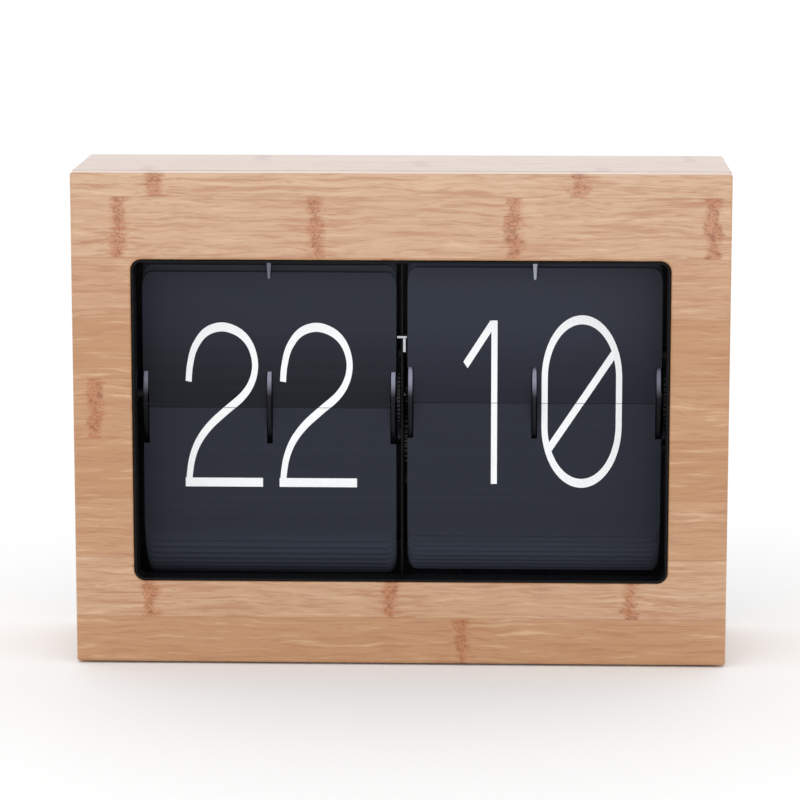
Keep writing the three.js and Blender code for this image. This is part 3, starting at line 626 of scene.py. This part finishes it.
def cover_screws():
    """Pan heads with a cross recess, on the rear cover."""
    for i in range(1, 5):
        node = f"cover_screw_{i}"
        low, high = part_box(node)
        centre = middle_of(node)
        bm = bmesh.new()
        revolve(bm, screw_profile(low.y, high.y, (high.x - low.x) / 2), centre, "Y", 40)
        piece = finish_piece(f"{node}_head", bm, STEEL, CASE, [node])
        cross = bmesh.new()
        top = Vector((centre.x, high.y + 0.1 * MM, centre.z))
        for wide, tall in ((CROSS_LENGTH, CROSS_WIDTH), (CROSS_WIDTH, CROSS_LENGTH)):
            size = Vector((wide, CROSS_DEPTH, tall))
            block(cross, top - size, top + size)
        cutter = as_object(f"{node}_cross", cross)
        made = piece.modifiers.new("cross", "BOOLEAN")
        made.object = cutter
        made.operation = "DIFFERENCE"
        made.use_self = True
        apply_modifiers(piece)
        bpy.data.objects.remove(cutter)


def apply_modifiers(piece):
    """Makes the modified shape the piece's own mesh."""
    graph = bpy.context.evaluated_depsgraph_get()
    graph.update()
    mesh = bpy.data.meshes.new_from_object(piece.evaluated_get(graph), depsgraph=graph)
    piece.modifiers.clear()
    piece.data = mesh


# ---------------------------------------------------------------- leaves

def leaf_outline(half, heel):
    """Points (x, v) round a leaf, v from the pin to the free edge."""
    corner_x, corner_v = LEAF_CORNER
    right = [
        (SLOT_HALF, SLOT_DEPTH), (SLOT_HALF, -heel), (half - END_NOTCH, -heel),
        (half - END_NOTCH, SLOT_DEPTH), (half, SLOT_DEPTH),
    ]
    steps = 8
    for i in range(steps + 1):
        angle = pi / 2 * i / steps
        x = half - corner_x * (1 - cos(angle))
        right.append((x, LEAF_LENGTH - corner_v * (1 - sin(angle))))
    left = [(-x, v) for x, v in reversed(right)]
    return right + left


def leaf_matrix(unit, y, z, lean):
    """Takes a leaf drawn about its pin to its place in the display."""
    turn = Matrix.Rotation(-radians(lean), 4, "X")
    return Matrix.Translation((unit.middle, y, z)) @ turn


def leaf(name, unit, place, material, body, stands_for):
    """One leaf: a thin sheet with slots for the discs."""
    bm = bmesh.new()
    bm.faces.new([bm.verts.new((x, 0.0, v)) for x, v in leaf_outline(unit.half, unit.heel)])
    thicken(bm, LEAF_THICKNESS)
    for vert in bm.verts:
        vert.co.y -= LEAF_THICKNESS / 2
    bm.transform(leaf_matrix(unit, *place))
    bevel(finish_piece(name, bm, material, body, stands_for), 0.07 * MM, 1, 60.0)


def leaf_pins(name, unit, places, body):
    """The pins that hold the leaves in the discs, at the heel of each end notch."""
    bm = bmesh.new()
    notch = unit.half - END_NOTCH
    for y, z, _ in places:
        for side in (-1, 1):
            ends = sorted(unit.middle + side * reach for reach in (notch - PIN_INSIDE, notch + PIN_OUTSIDE))
            revolve(bm, rod_profile(*ends, PIN_RADIUS, 0.08 * MM), (0.0, y, z), segments=16)
    finish_piece(name, bm, BLACK_PLASTIC, body)


# ---------------------------------------------------------------- numerals

STROKE = 3.35  # millimetres
TALL = 1.5  # the figures are drawn with an even stroke and then made this much taller
PRINT = 0.03 * MM
INK_MARGIN = 0.06 * MM
ARC_STEPS = 40
CURVE_STEPS = 8


def arc(centre, radii, start, end):
    """Points on an ellipse from start to end degrees."""
    found = []
    for i in range(ARC_STEPS + 1):
        angle = radians(start + (end - start) * i / ARC_STEPS)
        found.append((centre[0] + radii[0] * cos(angle), centre[1] + radii[1] * sin(angle)))
    return found


def smooth(points):
    """A curve through the points."""
    padded = [points[0], *points, points[-1]]
    found = []
    for a, b, c, d in zip(padded, padded[1:], padded[2:], padded[3:]):
        for i in range(CURVE_STEPS):
            t = i / CURVE_STEPS
            found.append(tuple(
                0.5 * (2 * b[k] + (c[k] - a[k]) * t + (2 * a[k] - 5 * b[k] + 4 * c[k] - d[k]) * t * t
                       + (3 * b[k] - a[k] - 3 * c[k] + d[k]) * t ** 3)
                for k in (0, 1)
            ))
    found.append(points[-1])
    return found


def ribbon(line, closed):
    """The two edges of a stroke along a line in millimetres, as (left, right) pairs."""
    flat = [Vector((x, z / TALL)) for x, z in line]
    count = len(flat)
    pairs = []
    for i, here in enumerate(flat):
        before = flat[i - 1] if closed or i else here
        after = flat[(i + 1) % count] if closed or i + 1 < count else here
        way = (after - before).normalized()
        side = Vector((-way.y, way.x)) * STROKE / 2
        pairs.append([(p.x, p.y * TALL) for p in (here + side, here - side)])
    return pairs


def figure_two():
    """Strokes of a 2 about the middle of its width, z up from its foot, in millimetres."""
    hook = [(-19.4, 59.7), (-18.6, 68.5), (-16.0, 78.6), (-9.8, 87.2), (-0.6, 90.3), (8.8, 87.2)]
    bowl = [(15.0, 80.2), (17.7, 70.2), (16.2, 60.4), (11.0, 51.8)]
    waist = [(1.1, 43.0), (-7.8, 34.6), (-14.3, 25.4), (-18.0, 15.2), (-19.7, 3.0)]
    foot = [(-21.6, 2.6), (21.7, 2.6)]
    return [(smooth(hook + bowl + waist), False), (foot, False)]


def figure_three():
    upper = [(-17.6, 74.5), (-13.8, 84.0), (-5.5, 89.8), (3.5, 89.8), (12.0, 84.0), (15.0, 73.5)]
    waist = [(12.5, 62.0), (4.5, 53.5), (-4.5, 51.0)]
    lower = [(-4.5, 51.0), (8.5, 47.5), (17.0, 37.0), (18.6, 24.5), (13.0, 10.5), (1.5, 2.8), (-9.5, 5.2)]
    return [(smooth(upper + waist), False), (smooth([*lower, (-17.0, 13.0), (-19.6, 22.5)]), False)]


def figure_one():
    return [([(0.0, 0.0), (0.0, 92.0)], False), ([(-16.0, 67.1), (-1.0, 90.4)], False)]


def figure_zero():
    half, lift, end = 20.6, 46.0, 32.5
    top = arc((0.0, 48.7 + lift - end), (half, end), 0, 180)
    bottom = arc((0.0, 48.7 - lift + end), (half, end), 180, 360)
    return [(top + bottom, True), ([(-18.0, 22.3), (18.5, 77.1)], False)]


# The number shown at rest and the next one. Each figure has its strokes, its middle from the leaf's
# middle and its foot from the hinge line, in millimetres.
FIGURES = {
    "hour": ([(figure_two, -25.7, -45.1), (figure_two, 26.9, -45.1)],
             [(figure_two, -25.7, -45.1), (figure_three, 26.9, -45.1)]),
    "minute": ([(figure_one, -22.3, -45.9), (figure_zero, 26.3, -48.0)],
               [(figure_one, -22.3, -45.9), (figure_one, 30.3, -45.9)]),
}
HINGE_LINE = {"hour": AXIS.z - 3.0 * MM, "minute": AXIS.z + 0.3 * MM}


def print_half(name, unit, figures, edge, upper, matrix, body):
    """The half of a number above or below an edge, as thin ink on a leaf. matrix takes the flat figures,
    drawn at y = 0 with the ink standing out towards -Y, to their place."""
    bm = bmesh.new()
    for draw, middle, foot in figures:
        for order, (line, closed) in enumerate(draw()):
            pairs = ribbon(line, closed)
            lift = PRINT * (1 + 0.5 * order)
            x0, z0 = unit.middle + middle * MM, HINGE_LINE[unit.name] + foot * MM
            rows = [[bm.verts.new((x0 + x * MM, -lift, z0 + z * MM)) for x, z in pair] for pair in pairs]
            following = rows[1:] + (rows[:1] if closed else [])
            for (a, b), (c, d) in zip(rows, following):
                bm.faces.new((a, b, d, c))
    geometry = bm.verts[:] + bm.edges[:] + bm.faces[:]
    bmesh.ops.bisect_plane(bm, geom=geometry, plane_co=(0, 0, edge), plane_no=(0, 0, 1),
                           clear_inner=upper, clear_outer=not upper)
    thicken(bm, PRINT * 1.5)
    bm.transform(matrix)
    finish_piece(name, bm, WHITE, body)


def thicken(bm, depth):
    """Draws all faces out by depth along +Y."""
    made = bmesh.ops.extrude_face_region(bm, geom=bm.faces[:])["geom"]
    for vert in [g for g in made if isinstance(g, bmesh.types.BMVert)]:
        vert.co.y += depth


def about(point, degrees_turned):
    """A turn about the X direction through a point."""
    point = Vector(point)
    turn = Matrix.Rotation(radians(degrees_turned), 4, "X")
    return Matrix.Translation(point) @ turn @ Matrix.Translation(-point)


def display(unit):
    """All leaves of one display and the numbers printed on them."""
    shown, coming = FIGURES[unit.name]
    standing = unit.places(1)
    hanging = unit.places(-1)
    up, down = leaf_sheet(unit, True), leaf_sheet(unit, False)
    name = unit.name
    leaf(f"{name}_leaf_falling_sheet", unit, standing[0], up, unit.body, [f"{name}_leaf_falling"])
    leaf(f"{name}_leaf_hanging_sheet", unit, hanging[0], down, CASE, [f"{name}_leaf_hanging"])
    for places, where, look in ((standing, "standing", up), (hanging, "hanging", down)):
        for i, place in enumerate(places[1:], 1):
            leaf(f"{name}_leaf_{where}_{i}", unit, place, look, CASE, [f"{name}_pack_{where}"])
        leaf_pins(f"{name}_pins_{where}", unit, places[1:] if where == "standing" else places, CASE)
    leaf_pins(f"{name}_pins_falling", unit, standing[:1], unit.body)

    face = LEAF_THICKNESS / 2
    margin = unit.heel - INK_MARGIN
    y, z, lean = standing[0]
    front = about((0, y, z), -lean) @ Matrix.Translation((0, y - face, 0))
    print_half(f"{name}_digits_upper", unit, shown, z - margin, True, front, unit.body)
    next_y, next_z, next_lean = standing[1]
    behind = about((0, next_y, next_z), -next_lean) @ Matrix.Translation((0, next_y - face, 0))
    print_half(f"{name}_digits_next_upper", unit, coming, next_z - margin, True, behind, CASE)
    low_y, low_z, _ = hanging[0]
    below = Matrix.Translation((0, low_y - face, 0))
    print_half(f"{name}_digits_lower", unit, shown, low_z + margin, False, below, CASE)
    back = about((0, y, z), -180 - lean) @ Matrix.Translation((0, y - face, 0))
    print_half(f"{name}_digits_next_lower", unit, coming, z + margin, False, back, unit.body)


# ---------------------------------------------------------------- drums and gears

BORE = 2.35 * MM
TUBE = 7 * MM


def disc(node, body):
    """A leaf disc: a thin rim, a recessed web and a hub."""
    x0, x1, centre, radius = span(node)
    deep = 0.5 * MM
    soft = 0.25 * MM
    hub, rim = TUBE + 3 * MM, radius - 7 * MM
    side = [(x0, TUBE + 0.45 * MM), (x0, hub), (x0 + deep, hub + deep), (x0 + deep, rim - deep), (x0, rim)]
    other = [(x0 + x1 - x, r) for x, r in reversed(side)]
    edge = [(x0, radius - soft), (x0 + soft, radius), (x1 - soft, radius), (x1, radius - soft)]
    bm = bmesh.new()
    revolve(bm, side + edge + other, centre, segments=160)
    finish_piece(f"{node}_moulding", bm, DISC_PLASTIC, body, [node])


TOOTH_STEPS = 12

# The planes in which gears mesh, as ranges of x.
MINUTE_PLANE = (1.15 * MM, 2.75 * MM)
HOUR_PLANE = (-2.75 * MM, -1.15 * MM)
DRIVE_PLANE = (145.5 * MM, 148.5 * MM)


def tooth_wave(teeth, module, phase):
    """How far a gear's outline stands above its root circle at each angle."""
    step = 2 * pi / teeth

    def wave(angle):
        from_tooth = (angle - phase) / step
        from_tooth = abs(from_tooth - round(from_tooth))
        return 2 * module * min(1.0, max(0.0, (0.28 - from_tooth) / 0.17))

    return wave


class Gear:
    """A number of teeth, a module given in millimetres and the radius under the teeth."""

    def __init__(self, teeth, module):
        self.teeth = teeth
        self.module = module * MM
        self.root = (teeth / 2 - 1.2) * self.module


def meshed(driver, driver_phase, gear, direction):
    """The angle of a tooth on a gear that meshes with a driver, where direction is from the driver's
    centre to the gear's."""
    return direction + pi + pi / gear.teeth - (driver_phase - direction) * driver.teeth / gear.teeth


def gear_wheel(bm, gear, phase, plane, centre, bore):
    """A spur gear in a plane, with a sunk web if it is wide enough."""
    x0, x1 = plane
    hub = bore + 1.6 * MM
    rim = gear.root - 1.6 * gear.module
    deep = 0.3 * (x1 - x0)
    side = [(x0, bore), (x0, gear.root - 0.2 * MM)]
    if rim > hub + 2 * deep + 1 * MM:
        side = [(x0, bore), (x0, hub), (x0 + deep, hub + deep), (x0 + deep, rim - deep), (x0, rim)]
    other = [(x0 + x1 - x, r) for x, r in reversed(side)]
    profile = side + [(x0, gear.root, True), (x1, gear.root, True)] + other
    wave = tooth_wave(gear.teeth, gear.module, phase)
    revolve(bm, profile, centre, segments=gear.teeth * TOOTH_STEPS, wave=wave, start=phase)


def gears():
    """The gears with a bore, and those that are one with their shafts."""
    minute_pinion, transfer_gear = Gear(8, 1), Gear(48, 1)
    transfer_pinion, hour_gear = Gear(8, 56 / 72), Gear(64, 56 / 72)
    drive, motor_pinion, set_gear = Gear(48, 1), Gear(12, 1), Gear(16, 1)
    to_transfer, to_motor, to_set = radians(-75), radians(-60), radians(31)
    transfer, motor_centre, set_centre = [
        Vector(joints[name]["pos_m"]) for name in ("transfer_spin", "motor_spin", "set_spin")
    ]

    wheels = [
        ("minute_pinion", minute_pinion, to_transfer, MINUTE_PLANE, AXIS, BORE, "minute_drum"),
        ("transfer_gear", transfer_gear, meshed(minute_pinion, to_transfer, transfer_gear, to_transfer),
         MINUTE_PLANE, transfer, 1.5 * MM, "transfer_shaft"),
        ("hour_gear", hour_gear, to_transfer, HOUR_PLANE, AXIS, BORE, "hour_drum"),
        ("minute_drive_gear", drive, to_motor, DRIVE_PLANE, AXIS, BORE, "minute_drum"),
    ]
    for node, gear, phase, plane, centre, bore, body in wheels:
        bm = bmesh.new()
        gear_wheel(bm, gear, phase, plane, centre, bore)
        if node == "minute_drive_gear":
            collar_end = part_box(node)[1].x
            revolve(bm, ring_profile(plane[1] - 0.5 * MM, collar_end, bore, 6 * MM, 0.2 * MM), centre)
        finish_piece(f"{node}_cut", bm, GEAR_PLASTIC, body, [node])

    looks = {"gear_plastic": GEAR_PLASTIC, "steel": BLACK_STEEL}
    shafts = [
        ("transfer_pinion", transfer_pinion, meshed(hour_gear, to_transfer, transfer_pinion, to_transfer),
         HOUR_PLANE, transfer, 1.2 * MM, "transfer_shaft", "steel"),
        ("motor_pinion", motor_pinion, meshed(drive, to_motor, motor_pinion, to_motor), DRIVE_PLANE,
         motor_centre, 1 * MM, "motor_shaft", "gear_plastic"),
        ("set_gear", set_gear, meshed(drive, to_motor, set_gear, to_set), DRIVE_PLANE,
         set_centre, 1.6 * MM, "set_shaft", "gear_plastic"),
    ]
    for node, gear, phase, plane, centre, shaft, body, slot in shafts:
        low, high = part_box(node)
        bm = bmesh.new()
        gear_wheel(bm, gear, phase, plane, centre, shaft - 0.1 * MM)
        revolve(bm, rod_profile(low.x, high.x, shaft, 0.15 * MM), centre, segments=32)
        finish_piece(f"{node}_cut", bm, looks[slot], body, [node])


def knurled_wheel():
    """The setting wheel: ridges round its rim and a dished face."""
    x0, x1, centre, radius = span("set_wheel")
    ridges, ridge, soft, hub, rim_width = 48, 0.5 * MM, 0.5 * MM, 4 * MM, 3 * MM
    side = [
        (x0, 0.0), (x0, hub), (x0 + soft, hub + soft), (x0 + soft, radius - rim_width - soft),
        (x0, radius - rim_width), (x0, radius - ridge - soft),
    ]
    other = [(x0 + x1 - x, r) for x, r in reversed(side)]
    rim = [(x0 + soft, radius - ridge, True), (x1 - soft, radius - ridge, True)]
    bm = bmesh.new()
    revolve(bm, side + rim + other, centre, segments=6 * ridges,
            wave=lambda angle: ridge * (0.5 + 0.5 * cos(ridges * angle)))
    finish_piece("set_wheel_knurled", bm, BLACK_PLASTIC, "set_shaft", ["set_wheel"])


def drums():
    """Each display's tube and its three discs."""
    for unit in (HOURS, MINUTES):
        turned(f"{unit.name}_drum_tube", GREY_PLASTIC, BORE, body=unit.drum)
        for place in ("inner", "middle", "outer"):
            disc(f"{unit.name}_disc_{place}", unit.drum)


# ---------------------------------------------------------------- movement frame, motor and batteries

def movement_frame():
    """Rails, brackets and retainers, and the axle with what holds the drums on it."""
    refined("base_rail", STEEL, 0.3 * MM)
    refined("top_rail", BLACK_PLASTIC, 0.6 * MM, 3)
    for side in ("left", "right"):
        refined(f"{side}_bracket", STEEL, 0.25 * MM)
    refined("centre_bracket", BLACK_STEEL, 0.2 * MM)
    centre_lug()
    refined("hour_retainer", RETAINER_GREY, 0.18 * MM)
    # The minute retainer's paler moulding is painted light.
    refined("minute_retainer", RETAINER_PAINTED_LIGHT, 0.18 * MM)
    turned("main_axle", STEEL, chamfer=0.4 * MM)
    for side in ("left", "right"):
        turned(f"axle_clip_{side}", STEEL, 2.3 * MM, 0.15 * MM)
    turned("end_collar", BLACK_PLASTIC, BORE, 0.3 * MM)


def centre_lug():
    """The bright folded tab on the centre bracket's front edge."""
    skin = 0.06 * MM
    front, back, foot, top = -20 * MM, -15 * MM, 171.3 * MM, 180.3 * MM
    half, under = 2.7 * MM, top - 1.2 * MM
    bm = bmesh.new()
    block(bm, (-half - skin, front - skin, under), (half + skin, back, top + skin))
    block(bm, (0.6 * MM, front - skin, foot), (2.1 * MM + skin, back, under))
    bevel(finish_piece("centre_bracket_lug", bm, LUG_STEEL, CASE), 0.15 * MM)


def motor():
    """The drawn can with its rolled edges, and the ears that hold it."""
    low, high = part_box("motor_can")
    centre = Vector(joints["motor_spin"]["pos_m"])
    radius = (high.y - low.y) / 2
    soft, sunk, boss = 1.2 * MM, 0.4 * MM, 5 * MM
    bm = bmesh.new()
    profile = [
        (low.x, 0.0), (low.x, radius - 1 * MM), (low.x + 0.4 * MM, radius - 0.6 * MM),
        (low.x + 0.8 * MM, radius), (high.x - soft, radius), (high.x - 0.3 * soft, radius - 0.3 * soft),
        (high.x, radius - soft), (high.x, boss), (high.x - sunk, boss - sunk), (high.x - sunk, 0.0),
    ]
    revolve(bm, profile, centre, segments=96)
    finish_piece("motor_can_drawn", bm, STEEL, CASE, ["motor_can"])
    ears = bmesh.new()
    half, thick = 3.5 * MM, 1 * MM
    block(ears, (low.x, centre.y - half, low.z), (low.x + thick, centre.y + half, high.z))
    bevel(finish_piece("motor_can_ears", ears, STEEL, CASE), 0.3 * MM)


def tube(bm, points, radius):
    """A round wire along the points."""
    sides = 8
    rings = []
    points = [Vector(p) for p in points]
    for i, here in enumerate(points):
        way = (points[min(i + 1, len(points) - 1)] - points[max(i - 1, 0)]).normalized()
        across = way.cross(Vector((0.3, 0.9, 0.2))).normalized()
        other = way.cross(across)
        turn = [2 * pi * k / sides for k in range(sides)]
        rings.append([bm.verts.new(here + radius * (cos(a) * across + sin(a) * other)) for a in turn])
    for ring, following in zip(rings, rings[1:]):
        for k in range(sides):
            j = (k + 1) % sides
            bm.faces.new((ring[k], ring[j], following[j], following[k]))
    bm.faces.new(rings[0])
    bm.faces.new(list(reversed(rings[-1])))


def batteries():
    """The box, its contacts and two cells that lie opposite ways round."""
    refined("battery_box", BLACK_PLASTIC, 0.3 * MM)
    radius, nub = 7.2 * MM, 2.7 * MM
    for node, direction in (("battery_lower", 1), ("battery_upper", -1)):
        low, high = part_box(node)
        centre = (low + high) / 2
        half = (high.x - low.x) / 2 - 0.5 * MM
        middle = centre.x - direction * 0.5 * MM
        profile = [(-half, radius - 2 * MM), (-half, radius - 0.8 * MM), (0.6 * MM - half, radius)]
        profile += [(half - 0.6 * MM, radius), (half, radius - 0.8 * MM), (half, nub + 1.2 * MM)]
        profile += [(half - 0.3 * MM, nub + 1 * MM), (0.3 * MM - half, radius - 2.2 * MM)]
        bm = bmesh.new()
        revolve(bm, [(middle + direction * x, r) for x, r in profile], centre, segments=64)
        finish_piece(f"{node}_sleeve", bm, CELL_WRAP, CASE, [node])
        caps = bmesh.new()
        ends = sorted((middle - direction * (half - 0.1 * MM), middle - direction * (half - 0.5 * MM)))
        revolve(caps, rod_profile(*ends, radius - 2.1 * MM, 0.1 * MM), centre, segments=48)
        tip = sorted((middle + direction * (half - 0.4 * MM), middle + direction * (half + 1 * MM)))
        revolve(caps, rod_profile(*tip, nub, 0.4 * MM), centre, segments=32)
        finish_piece(f"{node}_caps", caps, STEEL, CASE)
    springs()


CONTACT_PLATE = 0.5 * MM
WIRE = 0.3 * MM


def coil(wall, free_end, sign, centre):
    """Points along a tapering spring that stands on a contact plate and reaches the free end."""
    turns, count = 3.5, 84
    points = []
    for i in range(count + 1):
        share = i / count
        angle = 2 * pi * turns * share
        ring = (2.9 - 0.8 * share) * MM
        foot = wall - sign * CONTACT_PLATE
        x = foot + (free_end + sign * WIRE - wall + sign * CONTACT_PLATE) * share
        points.append((x, centre.y + ring * cos(angle), centre.z + ring * sin(angle)))
    return points


def springs():
    """Contact plates at both ends of the battery bay, each with a coil for a cell's flat end and a
    stud for the other cell's nub."""
    for side, spring_node, stud_node in (("right", "battery_upper", "battery_lower"),
                                         ("left", "battery_lower", "battery_upper")):
        node = f"battery_contact_{side}"
        low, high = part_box(node)
        sign = 1 if side == "right" else -1
        wall, free_end = (high.x, low.x) if sign > 0 else (low.x, high.x)
        centre = middle_of(node)
        bm = bmesh.new()
        plate = sorted((wall, wall - sign * CONTACT_PLATE))
        block(bm, (plate[0], centre.y - 5 * MM, low.z), (plate[1], centre.y + 5 * MM, high.z))
        tube(bm, coil(wall, free_end, sign, middle_of(spring_node)), WIRE)
        ends = sorted((wall - sign * 0.3 * MM, wall - sign * 1.6 * MM))
        revolve(bm, rod_profile(*ends, 3 * MM, 0.4 * MM), middle_of(stud_node), segments=40)
        finish_piece(f"{node}_formed", bm, STEEL, CASE, [node])


def circuit_board():
    """The board with its chips, each (x, z, width, height, depth) in millimetres from a corner."""
    refined("circuit_board", BOARD, 0.15 * MM)
    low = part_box("circuit_board")[0]
    chips = [(12, 14, 9, 9, 1.2), (31, 13, 6, 8, 1.0), (33, 26, 10, 4, 2.4), (14, 27, 3.2, 1.6, 0.6)]
    bm = bmesh.new()
    for x, z, wide, tall, deep in chips:
        corner = Vector((low.x + x * MM, low.y - deep * MM, low.z + z * MM))
        block(bm, corner, corner + Vector((wide * MM, (deep - 0.02) * MM, tall * MM)))
    bevel(finish_piece("circuit_board_chips", bm, BLACK_PLASTIC, CASE), 0.15 * MM)


# ---------------------------------------------------------------- rear

def louvres():
    """A row of low ridges on the rear cover, above the movement."""
    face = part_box("rear_cover")[1].y
    each_side, spacing, half = 9, 7, 1.1 * MM
    foot, top = 196 * MM, 232 * MM
    bm = bmesh.new()
    for i in range(-each_side, each_side + 1):
        x = i * spacing * MM
        block(bm, (x - half, face - 0.5 * MM, foot), (x + half, face + 0.7 * MM, top))
    bevel(finish_piece("rear_cover_louvres", bm, BLACK_PLASTIC, CASE), 0.5 * MM, 3)


def rear():
    """The rear cover with its screws and louvres, and the battery door with its hinge pin."""
    louvres()
    refined("rear_cover", BLACK_PLASTIC, 0.4 * MM, 3)
    refined("battery_door", BLACK_PLASTIC, 0.25 * MM, body="door")
    turned("door_hinge_pin", STEEL, chamfer=0.15 * MM, segments=24)
    cover_screws()


# ---------------------------------------------------------------- the clock

front_panel()
case_boards()
foot_pads()
refined("window_liner", LINER_PLASTIC, 0.25 * MM)
rear()
movement_frame()
drums()
gears()
knurled_wheel()
motor()
batteries()
circuit_board()
display(HOURS)
display(MINUTES)


# ---------------------------------------------------------------- floor, light and camera

FLOOR_REACH = 9.0


def floor():
    """A plain pale floor."""
    s = Shader("studio_floor")
    haze = s.noise(s.place, scale=3.0, detail=2.0)
    s.set(Base_Color=s.mix(haze, (0.97, 0.97, 0.97, 1.0), (0.985, 0.985, 0.985, 1.0)), Roughness=0.7,
          Specular_IOR_Level=0.2)
    bm = bmesh.new()
    bmesh.ops.create_grid(bm, x_segments=1, y_segments=1, size=FLOOR_REACH)
    sheet = as_object("studio_floor", bm)
    sheet.data.materials.append(s.material)


def area_light(name, place, target, size, power):
    """A white rectangular lamp turned towards a target. The power is in watts."""
    data = bpy.data.lights.new(name, "AREA")
    data.shape = "RECTANGLE"
    data.size, data.size_y = size
    data.energy = power
    lamp = bpy.data.objects.new(name, data)
    lamp.location = place
    lamp.rotation_euler = (Vector(target) - Vector(place)).to_track_quat("-Z", "Y").to_euler()
    scene.collection.objects.link(lamp)


SKY_STRENGTH = 1.05


def studio():
    """An even white surround, a key lamp up on the left and a wide low one in front."""
    world = bpy.data.worlds.new("studio")
    world.use_nodes = True
    background = world.node_tree.nodes["Background"].inputs
    background["Color"].default_value = (1.0, 1.0, 1.0, 1.0)
    background["Strength"].default_value = SKY_STRENGTH
    scene.world = world
    scene.view_settings.view_transform = "Standard"
    area_light("key", (-0.5, -0.9, 1.3), (0, 0, 0.14), (0.5, 0.3), 1.2)
    area_light("front_fill", (0.2, -2.4, 0.12), (0, 0, 0.10), (1.6, 0.5), 3.4)


def camera():
    """A long lens in front of the clock, slightly to the right and looking down a little."""
    azimuth, elevation, distance = radians(1.8), radians(9.72), 1.9687
    target = Vector((-0.0017, 0.0, 0.1409))
    way = Vector((sin(azimuth) * cos(elevation), -cos(azimuth) * cos(elevation), sin(elevation)))
    data = bpy.data.cameras.new("camera")
    data.sensor_width = 36.0
    data.lens = 157.5
    eye = bpy.data.objects.new("camera", data)
    eye.location = target + way * distance
    eye.rotation_euler = (-way).to_track_quat("-Z", "Y").to_euler()
    scene.collection.objects.link(eye)
    scene.camera = eye


floor()
studio()
camera()
